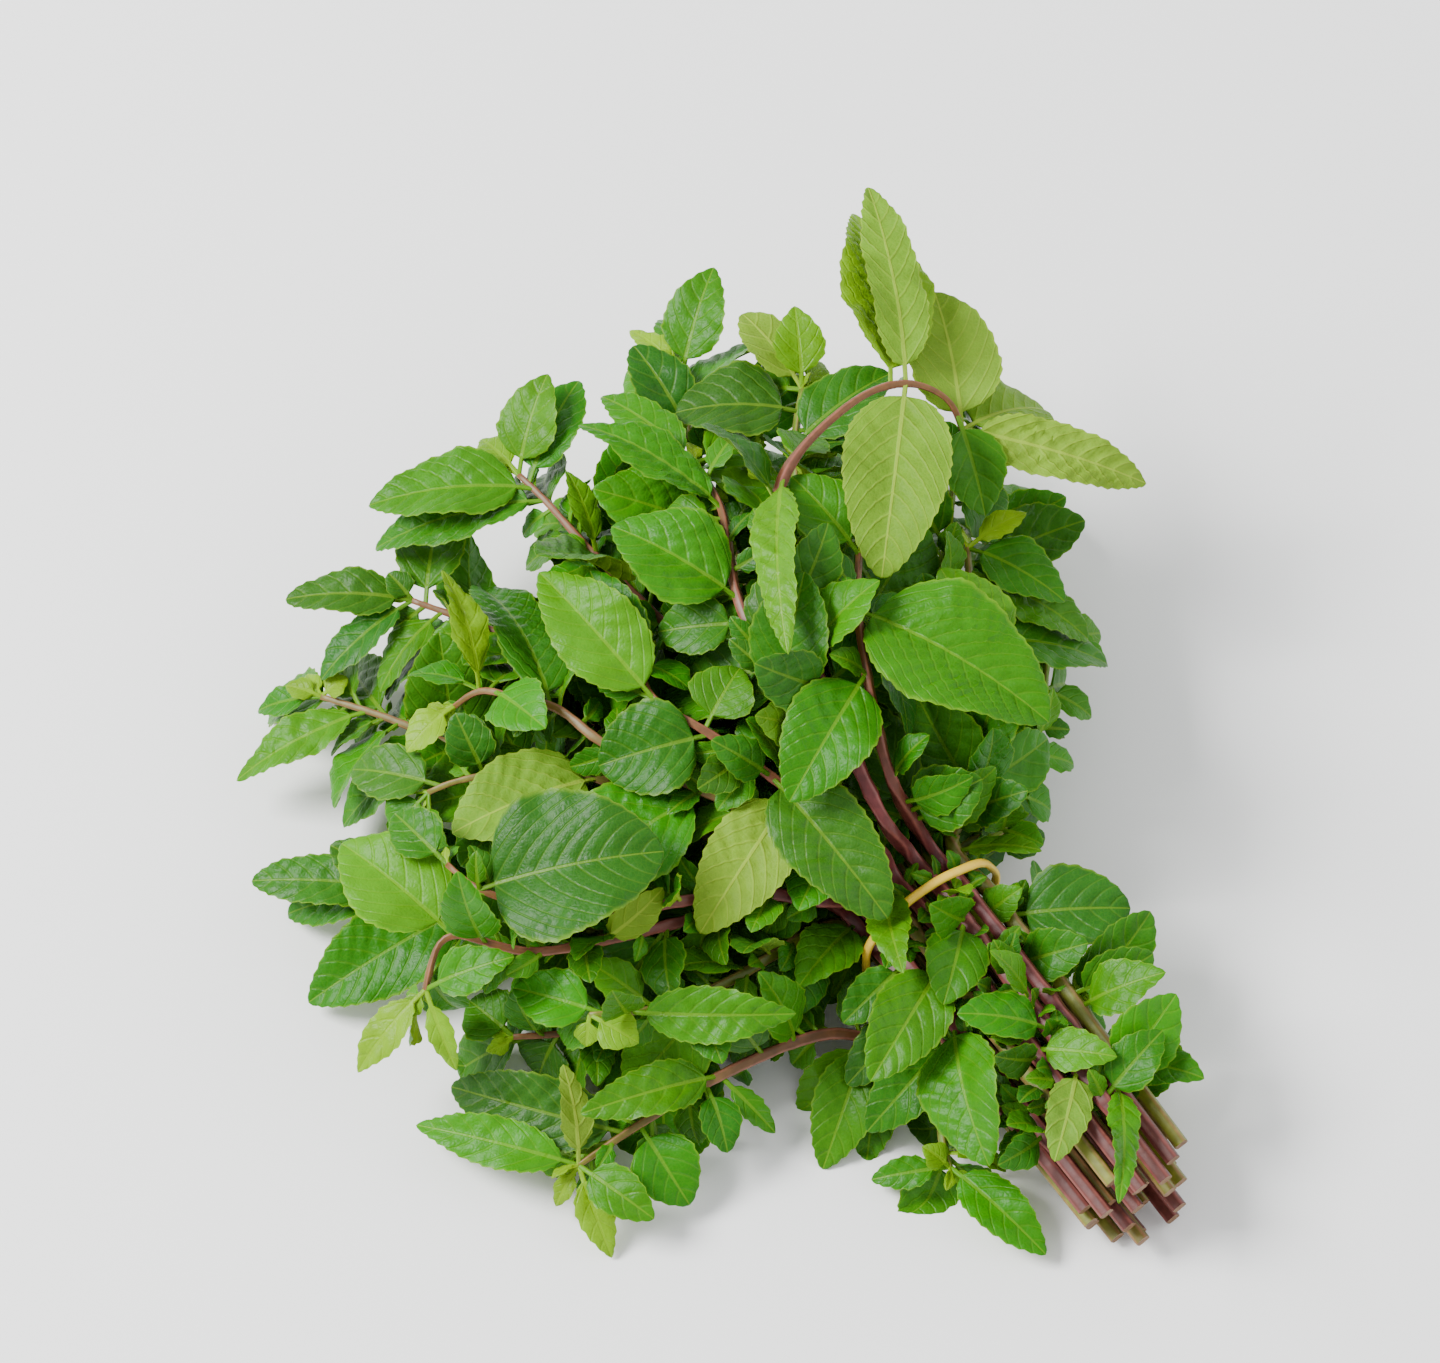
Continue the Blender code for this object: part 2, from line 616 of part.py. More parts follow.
def band_outline():
    """(points, faces) of a plain ring round the band, which the leaves keep clear of."""
    points, faces, sides = [], [], 4
    reach = math.sqrt(2) * (BAND_THICKNESS / 2 + CLEARANCE)
    for i in range(BAND_SEGMENTS):
        around = 2 * math.pi * i / BAND_SEGMENTS
        for k in range(sides):
            turn = 2 * math.pi * k / sides
            out = BAND_RADIUS + reach * math.cos(turn)
            arm = np.array([out * math.cos(around), reach * math.sin(turn), out * math.sin(around)])
            points.append(BAND_MIDDLE + arm)
            j, m = (i + 1) % BAND_SEGMENTS, (k + 1) % sides
            faces.append((i * sides + k, j * sides + k, j * sides + m, i * sides + m))
    return np.array(points), faces


def shown_tree(stems):
    """A search tree of the leaves that the picture shows, the bare stretches and the band."""
    solids = [blade(leaf) for stem in stems.values() for leaf in stem.leaves] + [band_outline()]
    for name, stretches in BARE_STRETCHES.items():
        for first, last in stretches:
            places = np.linspace(first, last, BARE_SAMPLES)
            line = np.array([stems[name].at(place) for place in places])
            solids.append(square_tube(line, np.full(BARE_SAMPLES, BARE_CORNER)))
    points, faces = [], []
    for solid_points, solid_faces in solids:
        start = len(points)
        faces += [tuple(corner + start for corner in face) for face in solid_faces]
        points += solid_points.tolist()
    return BVHTree.FromPolygons(points, faces)


def grow():
    """{name: Stem} with its leaves: first those seen in the picture, from the top of the bunch
    down, then those that fill each stem in opposite, crossed pairs."""
    stems = lay_stems()
    thicket = Thicket()
    thicket.add("band", band_outline(), band_outline())
    for stem in stems.values():
        tube = square_tube(*stem.facets(), CLEARANCE)
        thicket.add(stem.node, tube, tube)
    for name, stem in stems.items():
        draw = random.Random(f"{SEED} {name} seen")
        for seen in SPRIGS[name][3]:
            place_seen_leaf(thicket, stem, seen, draw)
    shown = shown_tree(stems)
    for name, stem in stems.items():
        draw = random.Random(f"{SEED} {name} grown")
        distances = stem.distances()
        at_band = np.interp(AT_BAND, stem.places, distances)
        start = FIRST_PAIR / 2 if SPRIGS[name][0] in SPRIGS else at_band + FIRST_PAIR
        pairs = max(1, round((distances[-1] - start) / PAIR_SPACING))
        seen_roots = np.array([leaf[0] for leaf in stem.leaves]).reshape(-1, 3)
        for pair in range(pairs + 1):
            share = pair / pairs
            i = int(np.abs(distances - start - share * (distances[-1] - start)).argmin())
            near = np.linalg.norm(seen_roots - stem.line[i], axis=1) < TAKEN_NEAR * PAIR_SPACING
            forward = unit(stem.line[min(i + 1, len(distances) - 1)] - stem.line[i - 1])
            swell = math.sin(math.pi * min(share * SWELL_REACH, 1))
            length = (LEAST_LENGTH + LENGTH_SWELL * swell) * draw.uniform(*LENGTH_SPREAD)
            angle = ODD_PAIR_ANGLE if pair % 2 else EVEN_PAIR_ANGLE
            angle += draw.uniform(-PAIR_WOBBLE, PAIR_WOBBLE)
            for side in range(max(0, 2 - int(near.sum()))):
                turn = angle + side * math.pi
                place_grown_leaf(thicket, shown, stem, stem.line[i], forward, turn, length, draw)
    return stems


def mesh_object(name, points, faces, collection):
    mesh = bpy.data.meshes.new(name)
    mesh.from_pydata((points * MM).tolist(), [], faces)
    obj = bpy.data.objects.new(name, mesh)
    collection.objects.link(obj)
    return obj


def keep_outer_shell(mesh):
    """Fills hollows that the union sealed and drops loose scraps: only the largest shell stays."""
    work = bmesh.new()
    work.from_mesh(mesh)
    bmesh.ops.triangulate(work, faces=work.faces)
    left = set(work.faces)
    shells = []
    while left:
        shell, edge = set(), [left.pop()]
        while edge:
            face = edge.pop()
            shell.add(face)
            near = {other for side in face.edges for other in side.link_faces} & left
            left -= near
            edge += near
        shells.append(shell)
    shells.sort(key=len)
    for shell in shells[:-1]:
        bmesh.ops.delete(work, geom=list(shell), context="FACES")
    work.to_mesh(mesh)
    work.free()


def material(name, colour, roughness):
    made = bpy.data.materials.new(name)
    made.use_nodes = True
    shader = made.node_tree.nodes["Principled BSDF"]
    shader.inputs["Base Color"].default_value = (*colour, 1)
    shader.inputs["Roughness"].default_value = roughness
    return made


def sprig_object(name, stems, green):
    """One leafy stem with its branches and leaves, joined by a union."""
    scene = bpy.context.scene.collection
    main, *branches = stems
    sprig = mesh_object(name, *square_tube(*main.facets()), scene)
    sprig.data.materials.append(green)
    pieces = bpy.data.collections.new(name + "_pieces")
    scene.children.link(pieces)
    for branch in branches:
        mesh_object(name + "_branch", *square_tube(*branch.facets()), pieces)
    for stem in stems:
        for leaf in stem.leaves:
            mesh_object(name + "_blade", *blade(leaf), pieces)
    join = sprig.modifiers.new("join", "BOOLEAN")
    join.operation = "UNION"
    join.operand_type = "COLLECTION"
    join.collection = pieces
    join.solver = "MANIFOLD"
    graph = bpy.context.evaluated_depsgraph_get()
    joined = bpy.data.meshes.new_from_object(sprig.evaluated_get(graph))
    sprig.modifiers.clear()
    sprig.data = joined
    for obj in list(pieces.objects):
        bpy.data.objects.remove(obj)
    bpy.data.collections.remove(pieces)
    keep_outer_shell(joined)
    return sprig


def band_object(rubber):
    """The rubber band: a ring round the bundle, square to the stems."""
    bpy.ops.mesh.primitive_torus_add(
        major_radius=BAND_RADIUS * MM,
        minor_radius=BAND_THICKNESS / 2 * MM,
        major_segments=BAND_SEGMENTS,
        minor_segments=BAND_SIDES,
        location=(BAND_MIDDLE * MM).tolist(),
        rotation=(math.pi / 2, 0, 0),
    )
    band = bpy.context.object
    band.name = "rubber_band"
    band.data.shade_smooth()
    band.data.materials.append(rubber)
    return band


def centre_on_origin(objects):
    """Moves everything sideways together, so that the origin lies under the middle of the box."""
    bpy.context.view_layer.update()
    corners = np.array([obj.matrix_world @ v.co for obj in objects for v in obj.data.vertices])
    middle = (corners.min(axis=0) + corners.max(axis=0)) / 2
    for obj in objects:
        obj.location.x -= middle[0]
        obj.location.y -= middle[1]


def main():
    for obj in list(bpy.data.objects):
        bpy.data.objects.remove(obj)
    green = material("mint_green", (0.13, 0.34, 0.05), 0.5)
    rubber = material("yellow_rubber", (0.78, 0.52, 0.10), 0.55)
    objects = [band_object(rubber)]
    stems = grow()
    for node in sorted({stem.node for stem in stems.values()}):
        own = [stems[node]] + [stem for name, stem in stems.items() if stem.node == node != name]
        objects.append(sprig_object("sprig_" + node, own, green))
    centre_on_origin(objects)


main()
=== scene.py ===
import math
import random

import bpy
import numpy as np
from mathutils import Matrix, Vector
from mathutils.bvhtree import BVHTree


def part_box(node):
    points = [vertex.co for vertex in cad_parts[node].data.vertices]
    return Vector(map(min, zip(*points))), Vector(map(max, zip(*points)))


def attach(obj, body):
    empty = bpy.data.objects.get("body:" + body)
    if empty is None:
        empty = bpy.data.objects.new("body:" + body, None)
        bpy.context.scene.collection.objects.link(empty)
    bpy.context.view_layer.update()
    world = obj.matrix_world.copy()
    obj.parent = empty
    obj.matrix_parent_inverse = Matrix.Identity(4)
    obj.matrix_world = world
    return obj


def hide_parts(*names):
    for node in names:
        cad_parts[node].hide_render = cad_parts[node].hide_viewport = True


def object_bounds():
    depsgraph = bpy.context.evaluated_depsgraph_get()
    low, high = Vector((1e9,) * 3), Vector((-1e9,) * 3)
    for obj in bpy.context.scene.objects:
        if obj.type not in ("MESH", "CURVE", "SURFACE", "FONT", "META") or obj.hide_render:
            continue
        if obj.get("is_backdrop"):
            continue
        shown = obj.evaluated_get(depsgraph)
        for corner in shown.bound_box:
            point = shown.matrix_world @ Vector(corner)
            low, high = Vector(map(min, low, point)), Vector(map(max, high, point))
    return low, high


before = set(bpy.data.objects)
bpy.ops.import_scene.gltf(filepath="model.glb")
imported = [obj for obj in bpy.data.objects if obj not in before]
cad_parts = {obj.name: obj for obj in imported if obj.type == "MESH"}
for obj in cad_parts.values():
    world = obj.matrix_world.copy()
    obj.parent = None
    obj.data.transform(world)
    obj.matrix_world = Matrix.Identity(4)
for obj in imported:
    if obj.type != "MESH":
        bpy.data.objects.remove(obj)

cad_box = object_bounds()

# The table, the light and the camera.
# A pale matt table and two broad, soft lights stand for the white studio of the photograph. The
# camera looks down at 62 degrees, from the side of the cut ends, through a long lens.
MM = 0.001
MM_PER_PIXEL = 0.25
PICTURE_SIZE = (1440, 1363)
PICTURE_MIDDLE = (690, 718)
VIEW_AZIMUTH = math.radians(-36)
VIEW_ELEVATION = math.radians(62)
BAND_PICTURE_POINT = (930, 920)
BAND_HEIGHT = 23.0
MIDDLE_HEIGHT = 45.0
CAMERA_DISTANCE = 2.5
SENSOR = 36.0
TABLE_HALF = 12.0
SHADES_ACROSS_TABLE = 40.0
SKY_STRENGTH = 1.0


def colour(code):
    """An sRGB hex colour as linear red, green, blue and alpha."""
    shares = [int(code[i:i + 2], 16) / 255 for i in (1, 3, 5)]
    return [c / 12.92 if c <= 0.04045 else ((c + 0.055) / 1.055) ** 2.4 for c in shares] + [1.0]


def add_node(tree, kind, inputs=None, ramp=(), **settings):
    """Adds a shader node with its settings. Each input is a value, or the output that feeds it.
    A ramp is given as its colours from place 0 to place 1."""
    made = tree.nodes.new("ShaderNode" + kind)
    for name, value in settings.items():
        setattr(made, name, value)
    for place, code in ramp:
        stops = made.color_ramp.elements
        stop = stops[0] if place == 0 else stops[-1] if place == 1 else stops.new(place)
        stop.color = colour(code)
    for key, value in (inputs or {}).items():
        if isinstance(value, bpy.types.NodeSocket):
            tree.links.new(value, made.inputs[key])
        else:
            made.inputs[key].default_value = value
    return made


def new_material(name, **values):
    """A material with a Principled BSDF, the values set on the shader's own sockets."""
    made = bpy.data.materials.new(name)
    made.use_nodes = True
    shader = made.node_tree.nodes["Principled BSDF"]
    for key, value in values.items():
        shader.inputs[key.replace("_", " ")].default_value = value
    return made, made.node_tree, shader


def spot(x, y, height):
    """The point, in mm, at a height above the table that shows at picture point x, y."""
    right = (x - PICTURE_MIDDLE[0]) * MM_PER_PIXEL
    up = (PICTURE_MIDDLE[1] - y) * MM_PER_PIXEL
    away = (up - height * math.cos(VIEW_ELEVATION)) / math.sin(VIEW_ELEVATION)
    cos, sin = math.cos(VIEW_AZIMUTH), math.sin(VIEW_AZIMUTH)
    return np.array([right * cos - away * sin, right * sin + away * cos, height])


BAND_MIDDLE = spot(*BAND_PICTURE_POINT, BAND_HEIGHT)
band_low, band_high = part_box("rubber_band")
to_frame = np.array((band_low + band_high) / 2) - BAND_MIDDLE * MM

back = Vector((
    math.sin(VIEW_AZIMUTH) * math.cos(VIEW_ELEVATION),
    -math.cos(VIEW_AZIMUTH) * math.cos(VIEW_ELEVATION),
    math.sin(VIEW_ELEVATION),
))
target = Vector(spot(PICTURE_SIZE[0] / 2, PICTURE_SIZE[1] / 2, MIDDLE_HEIGHT) * MM + to_frame)
camera = bpy.data.objects.new("camera", bpy.data.cameras.new("camera"))
camera.data.sensor_width = SENSOR
camera.data.lens = SENSOR * CAMERA_DISTANCE / (PICTURE_SIZE[0] * MM_PER_PIXEL * MM)
camera.location = target + back * CAMERA_DISTANCE
camera.rotation_euler = back.to_track_quat("Z", "Y").to_euler()
bpy.context.scene.collection.objects.link(camera)
bpy.context.scene.camera = camera

# Matt white laminate: even and pale, with no visible grain
matt_table, tree, shader = new_material("matt_white_laminate", Roughness=0.8)
grain = add_node(tree, "TexNoise", {"Scale": SHADES_ACROSS_TABLE})
paleness = add_node(tree, "ValToRGB", {"Fac": grain.outputs["Fac"]}, ((0, "#f6f6f5"), (1, "#fafaf9")))
tree.links.new(paleness.outputs["Color"], shader.inputs["Base Color"])
table_mesh = bpy.data.meshes.new("table")
table_corners = [(-1, -1), (1, -1), (1, 1), (-1, 1)]
table_mesh.from_pydata([(x * TABLE_HALF, y * TABLE_HALF, 0) for x, y in table_corners], [], [(0, 1, 2, 3)])
table_mesh.materials.append(matt_table)
table = bpy.data.objects.new("table", table_mesh)
bpy.context.scene.collection.objects.link(table)
table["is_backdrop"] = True

world = bpy.data.worlds.new("studio")
world.use_nodes = True
sky = world.node_tree.nodes["Background"]
sky.inputs["Color"].default_value = colour("#fbfdff")
sky.inputs["Strength"].default_value = SKY_STRENGTH
bpy.context.scene.world = world

# name: (direction that the light comes from, distance in m, size in m, watts)
STUDIO_LIGHTS = {
    "soft_key": ((-0.7, 0.55, 1.0), 1.9, 0.8, 76),
    "soft_fill": ((0.9, -0.7, 0.9), 2.2, 1.6, 14),
}
for name, (direction, distance, size, watts) in STUDIO_LIGHTS.items():
    lamp = bpy.data.lights.new(name, "AREA")
    lamp.size = size
    lamp.energy = watts
    light = bpy.data.objects.new(name, lamp)
    towards = Vector(direction).normalized()
    light.location = target + towards * distance
    light.rotation_euler = towards.to_track_quat("Z", "Y").to_euler()
    bpy.context.scene.collection.objects.link(light)

# The stems.
# About two dozen cut mint stems, square with rounded ribs and shallow grooves, purple-brown at
# the base and greener at the tip. Each passes straight through the band and then bends its own
# way, clear of the others. Two of them carry a side shoot.
STRAIGHT_RUN = 11.0
CUT_END_SPREAD = 0.92
CUT_END_DROP = 7.2
STEM_CORNER_AT_CUT = 2.15
STEM_CORNER_AT_TIP = 1.45
STEM_TAPER_POWER = 1.3
STEM_SAMPLE = 4.0
SAMPLES_PER_FACET = 5
STEM_SPACING = 5.4
STEM_LOWEST = 2.6
SPREADING_ROUNDS = 60
TINY = 1e-6
FIRST_SIDE = (0.3, 0.2, 1.0)
SEED = 11

# How old a leaf looks, from yellow-green to blue-green. UNDER is a leaf whose pale underside
# shows.
YOUNG, FRESH, RIPE, OLD, UNDER = 0.05, 0.33, 0.62, 0.92, -1

# Each leafy stem: where it passes the band (mm right of and above the band's middle) and how
# much of it stands below the band; the picture points with heights that it follows; and the
# leaves that the picture shows on it. A leaf is (place on the stem, picture point and height of
# its tip, width, turn about its own length in degrees, look). Places count along the picture
# points from 0, and -1, -2 and -3 are just past the band, just below it, and the cut end. A
# branch has the stem that it grows from and the place on it instead, and its own place -1 is
# its root.
SPRIGS = {
    "arch": (
        (2, 16), 94,
        ((880, 815, 58), (828, 700, 73), (776, 575, 83), (783, 478, 88), (850, 405, 90),
         (905, 384, 88), (948, 400, 82), (962, 430, 75)),
        ((5, 868, 186, 98, 16, 8, UNDER), (5, 880, 580, 79, 28, 0, UNDER),
         (7, 1148, 483, 60, 16, 25, UNDER), (7, 935, 290, 86, 25, 0, UNDER),
         (4.7, 854, 210, 84, 27, 0, YOUNG), (7, 1048, 408, 62, 22, 0, UNDER),
         (6.5, 985, 515, 63, 17, 0, RIPE), (3, 787, 655, 80, 13, 50, FRESH),
         (-2, 940, 1000, 34, 17, 0, RIPE), (-2.6, 1048, 1152, 34, 12, 0, UNDER)),
    ),
    "centre_right": (
        (8, 13.5), 90,
        ((890, 780, 62), (868, 690, 74), (856, 612, 80), (858, 556, 78)),
        ((2, 1043, 722, 78, 36, 0, RIPE), (1.2, 788, 800, 70, 24, 0, RIPE),
         (2, 905, 738, 66, 20, -20, OLD), (3, 905, 515, 74, 15, 0, OLD),
         (1.4, 1035, 765, 60, 20, 0, FRESH), (-2.72, 1108, 1190, 24, 9, 0, FRESH)),
    ),
    "crown_left": (
        (-4.5, 15), 92,
        ((850, 812, 57), (785, 700, 69), (738, 600, 75), (722, 510, 74), (695, 464, 70)),
        ((2, 612, 528, 80, 27, 0, FRESH), (3, 578, 425, 72, 16, 15, RIPE),
         (4, 600, 395, 62, 13, 0, FRESH), (-2.5, 1110, 1050, 42, 12, 0, FRESH)),
    ),
    "centre": (
        (-3.5, 9), 90,
        ((842, 835, 48), (770, 775, 60), (705, 730, 66), (655, 700, 67), (640, 665, 65)),
        ((3, 540, 573, 72, 23, 0, FRESH), (4, 690, 690, 72, 13, 0, RIPE),
         (1.9, 600, 765, 60, 25, 0, OLD), (2, 740, 668, 70, 18, 0, RIPE),
         (1, 885, 915, 52, 24, 0, OLD), (0.7, 700, 930, 48, 22, 20, UNDER)),
    ),
    "mid_left": (
        (-9, 13.3), 86,
        ((805, 835, 50), (705, 790, 57), (608, 745, 61), (561, 709, 61), (515, 697, 58),
         (480, 690, 54), (456, 706, 50)),
        ((5, 442, 570, 60, 11, 45, YOUNG), (4.5, 548, 728, 58, 17, 0, FRESH),
         (-1.2, 900, 968, 42, 12, 0, FRESH), (6, 408, 752, 46, 11, 0, YOUNG),
         (3.2, 470, 580, 54, 24, 0, OLD), (-2.1, 868, 1075, 34, 20, 0, RIPE),
         (-2.15, 975, 902, 46, 12, 0, RIPE)),
    ),
    "big_leaf": (
        (-14, 7.5), 90,
        ((830, 900, 40), (740, 890, 47), (640, 905, 52), (550, 905, 56), (484, 886, 60),
         (452, 862, 58)),
        ((4, 665, 848, 72, 40, 0, OLD), (5, 398, 812, 54, 14, 0, RIPE),
         (-2.27, 985, 1158, 24, 23, 0, RIPE), (-1.95, 842, 1020, 26, 12, 0, OLD)),
    ),
    "crown_right": (
        (3, 9.3), 95,
        ((862, 760, 44), (822, 620, 55), (800, 510, 62), (795, 445, 64), (803, 388, 65)),
        ((3, 892, 372, 68, 19, 0, OLD), (3.6, 675, 412, 64, 25, 0, OLD),
         (4, 795, 303, 72, 14, 0, YOUNG), (4, 742, 310, 66, 15, 0, UNDER),
         (-2.35, 1096, 1076, 36, 13, 0, RIPE)),
    ),
    "front_left": (
        (-16, 1.5), 84,
        ((807, 888, 36), (709, 912, 42), (617, 934, 46), (533, 948, 47), (455, 930, 49),
         (437, 955, 45), (430, 985, 41)),
        ((4, 345, 842, 50, 27, 0, FRESH), (6, 362, 1068, 26, 11, 0, YOUNG),
         (6, 460, 1066, 28, 7, 0, YOUNG), (6, 518, 952, 44, 13, 0, FRESH),
         (-1.1, 797, 985, 33, 16, 0, FRESH), (2.2, 664, 884, 58, 11, 45, UNDER),
         (-2.3, 866, 1128, 10, 16, 0, RIPE)),
    ),
    "upper_left": (
        (-5, 3), 92,
        ((850, 840, 34), (760, 720, 43), (660, 620, 50), (590, 550, 54), (545, 500, 56),
         (518, 474, 56)),
        ((5, 547, 372, 68, 17, 0, FRESH), (4.4, 366, 505, 50, 22, 0, FRESH),
         (4.6, 578, 378, 60, 18, 0, RIPE), (5, 478, 437, 56, 9, 0, YOUNG),
         (5, 457, 454, 50, 9, 0, YOUNG), (4, 372, 548, 40, 18, 0, OLD),
         (2.9, 565, 470, 62, 9, 35, FRESH)),
    ),
    "front": (
        (-15.5, -4), 86,
        ((812, 930, 27), (725, 980, 33), (655, 1004, 37), (620, 1008, 38), (592, 1010, 38)),
        ((2.6, 795, 1008, 43, 15, 20, FRESH), (3.5, 515, 985, 34, 16, 0, FRESH),
         (4, 640, 1038, 34, 12, 0, YOUNG), (4, 588, 1042, 32, 7, 0, YOUNG),
         (-1.9, 940, 1088, 18, 19, 0, OLD), (-2.1, 846, 1082, 14, 14, 0, OLD)),
    ),
    "top": (
        (0, 3.5), 88,
        ((848, 800, 34), (775, 640, 43), (715, 510, 51), (688, 430, 55), (682, 372, 56)),
        ((4, 714, 262, 66, 17, 0, FRESH), (3, 632, 342, 54, 16, 0, OLD),
         (4, 628, 325, 52, 8, 0, YOUNG), (4, 662, 312, 54, 9, 0, RIPE)),
    ),
    "left": (
        (-10.3, 3.3), 87,
        ((800, 880, 33), (700, 830, 40), (600, 778, 47), (520, 772, 47), (460, 780, 45),
         (430, 792, 42)),
        ((2, 455, 832, 48, 26, 0, UNDER), (4.5, 352, 770, 34, 16, 0, OLD),
         (5, 395, 838, 38, 14, 0, FRESH)),
    ),
    "right_top": (
        (14.3, 8), 86,
        ((968, 800, 43), (985, 690, 50), (972, 600, 54), (968, 548, 54)),
        ((-2.05, 1128, 907, 33, 23, 0, OLD), (3, 1065, 602, 52, 18, 0, RIPE),
         (2.5, 1090, 640, 40, 17, 0, RIPE), (3, 1028, 512, 56, 8, 0, YOUNG),
         (1.5, 1110, 665, 38, 18, 0, RIPE), (-1.2, 1040, 850, 40, 8, 0, FRESH)),
    ),
    "right_mid": (
        (8.5, 4.5), 93,
        ((925, 780, 40), (935, 660, 49), (945, 560, 54), (955, 480, 56)),
        ((3, 1000, 540, 44, 18, 0, RIPE), (3, 925, 420, 62, 16, 0, OLD),
         (-1.95, 1020, 886, 38, 10, 0, FRESH), (-2.2, 1084, 940, 28, 14, 0, OLD)),
    ),
    "right_low": (
        (16, 1), 80,
        ((1000, 830, 28), (1030, 755, 32), (1045, 690, 34), (1050, 640, 34)),
        ((2, 1094, 718, 26, 10, 0, FRESH), (1, 1076, 766, 22, 9, 0, FRESH),
         (0.5, 1052, 812, 20, 12, 0, FRESH), (3, 1110, 664, 28, 11, 0, FRESH),
         (0, 1043, 845, 30, 9, 0, FRESH), (-2.4, 1094, 985, 20, 10, 0, YOUNG),
         (-2.6, 1110, 1045, 16, 8, 0, RIPE)),
    ),
    "far_left_upper": (
        (-8.5, -2.5), 93,
        ((800, 840, 25), (700, 750, 30), (590, 680, 33), (490, 630, 35), (410, 600, 35)),
        ((4, 281, 599, 32, 14, 0, OLD), (4, 318, 680, 26, 12, 0, OLD),
         (4, 385, 572, 38, 8, 0, OLD), (3.6, 378, 692, 28, 13, 15, RIPE)),
    ),
    "far_left": (
        (-6, -8.5), 96,
        ((780, 880, 17), (660, 830, 20), (540, 780, 23), (450, 745, 25), (385, 718, 25),
         (318, 697, 23)),
        ((5, 281, 686, 22, 7, 0, YOUNG), (5, 345, 678, 30, 9, 0, YOUNG),
         (5, 252, 712, 18, 9, 0, RIPE), (4.3, 232, 782, 13, 13, 0, FRESH)),
    ),
    "low_left": (
        (-9.5, -13.5), 90,
        ((812, 905, 13), (695, 930, 15), (570, 930, 17), (470, 905, 18), (400, 890, 18)),
        ((4, 250, 882, 14, 15, 0, OLD), (4, 285, 916, 10, 15, 0, OLD),
         (3, 308, 1003, 5, 24, 0, RIPE), (4, 330, 845, 20, 13, 0, OLD)),
    ),
    "low_front": (
        (-13.8, -9.2), 85,
        ((802, 932, 13), (700, 985, 14), (610, 1020, 15), (560, 1032, 15), (515, 1035, 15)),
        ((4, 470, 1000, 14, 16, 0, RIPE), (3, 540, 1075, 8, 16, 0, OLD),
         (-2.5, 908, 1142, -8, 15, 0, OLD)),
    ),
    "trailing": (
        "low_front", -2.25,
        ((885, 1040, 13), (820, 1032, 19), (720, 1072, 20), (640, 1120, 16), (580, 1160, 13)),
        ((4, 418, 1122, 9, 14, 0, FRESH), (4, 565, 1060, 26, 9, 30, UNDER),
         (4, 655, 1212, 12, 13, 0, RIPE), (4, 613, 1252, 5, 10, 0, YOUNG),
         (3.2, 452, 1085, 8, 19, 0, OLD), (3, 690, 1200, 6, 18, 0, RIPE),
         (2, 582, 1108, 16, 14, 0, RIPE), (2, 775, 1130, 8, 7, 0, FRESH),
         (0.3, 822, 1167, 4, 17, 0, RIPE), (1, 792, 1064, 14, 8, 0, RIPE),
         (0, 866, 1164, 5, 15, 0, FRESH)),
    ),
    "side_shoot": (
        "front", -2.45,
        ((945, 1100, 12), (940, 1135, 9), (948, 1163, 7)),
        ((2, 1042, 1248, 5, 14, 0, RIPE), (2, 870, 1176, 4, 9, 0, RIPE),
         (2, 920, 1142, 12, 8, 0, YOUNG)),
    ),
    "under_back": (
        (6, -2.5), 96,
        ((880, 800, 22), (830, 660, 27), (780, 540, 31), (750, 450, 33)),
        (),
    ),
    "under_left": (
        (-3.5, -14.8), 92,
        ((820, 900, 9), (700, 820, 10), (580, 720, 11), (480, 640, 13)),
        (),
    ),
    "under_mid": (
        (0.5, -8.5), 88,
        ((850, 860, 12), (770, 740, 14), (690, 620, 16), (620, 530, 18)),
        (),
    ),
    "under_right": (
        (6, -13.5), 94,
        ((910, 830, 11), (900, 700, 14), (880, 590, 17), (870, 500, 19)),
        (),
    ),
    "under_edge": (
        (13, -8), 84,
        ((960, 830, 15), (970, 720, 19), (975, 620, 22), (990, 540, 24)),
        ((-2.3, 1104, 1030, 12, 14, 0, RIPE),),
    ),
}

# How purple a stem is at its base and at its tip, where it isn't purple all along
PALE_STEMS = {
    "under_edge": (0.1, 0.0), "right_low": (0.1, 0.1), "right_mid": (0.2, 0.1), "right_top": (0.1, 0.6),
    "front": (0.1, 0.5), "side_shoot": (0.1, 0.1), "low_left": (0.3, 0.5), "under_mid": (0.2, 0.2),
    "crown_right": (0.3, 0.3), "top": (0.4, 0.4), "far_left": (0.5, 0.8), "left": (0.5, 0.7),
    "mid_left": (0.1, 0.95), "trailing": (0.9, 0.7),
}

# Where a stem is bare enough to be seen, as stretches of places along it
BARE_STRETCHES = {
    "arch": ((-1, 0.4), (2.6, 7)),
    "centre_right": ((-1, 0.5),),
    "crown_left": ((-1, 0.3),),
    "upper_left": ((3.3, 4.4),),
    "far_left": ((3.7, 5),),
    "mid_left": ((2.4, 3.4), (4, 6)),
    "front_left": ((4.6, 6),),
    "left": ((3.6, 5),),
    "trailing": ((0.8, 2.2),),
}


def unit(vector):
    return vector / np.linalg.norm(vector)


def on_curve(points, place):
    """A point on the Catmull-Rom curve through the points, place counting from the first one."""
    last = len(points) - 1
    i = min(int(place), last - 1)
    t = place - i
    p1, p2 = points[i], points[i + 1]
    p0 = points[i - 1] if i else 2 * p1 - p2
    p3 = points[i + 2] if i + 2 <= last else 2 * p2 - p1
    return 0.5 * (
        2 * p1
        + (p2 - p0) * t
        + (2 * p0 - 5 * p1 + 4 * p2 - p3) * t**2
        + (3 * p1 - p0 - 3 * p2 + p3) * t**3
    )


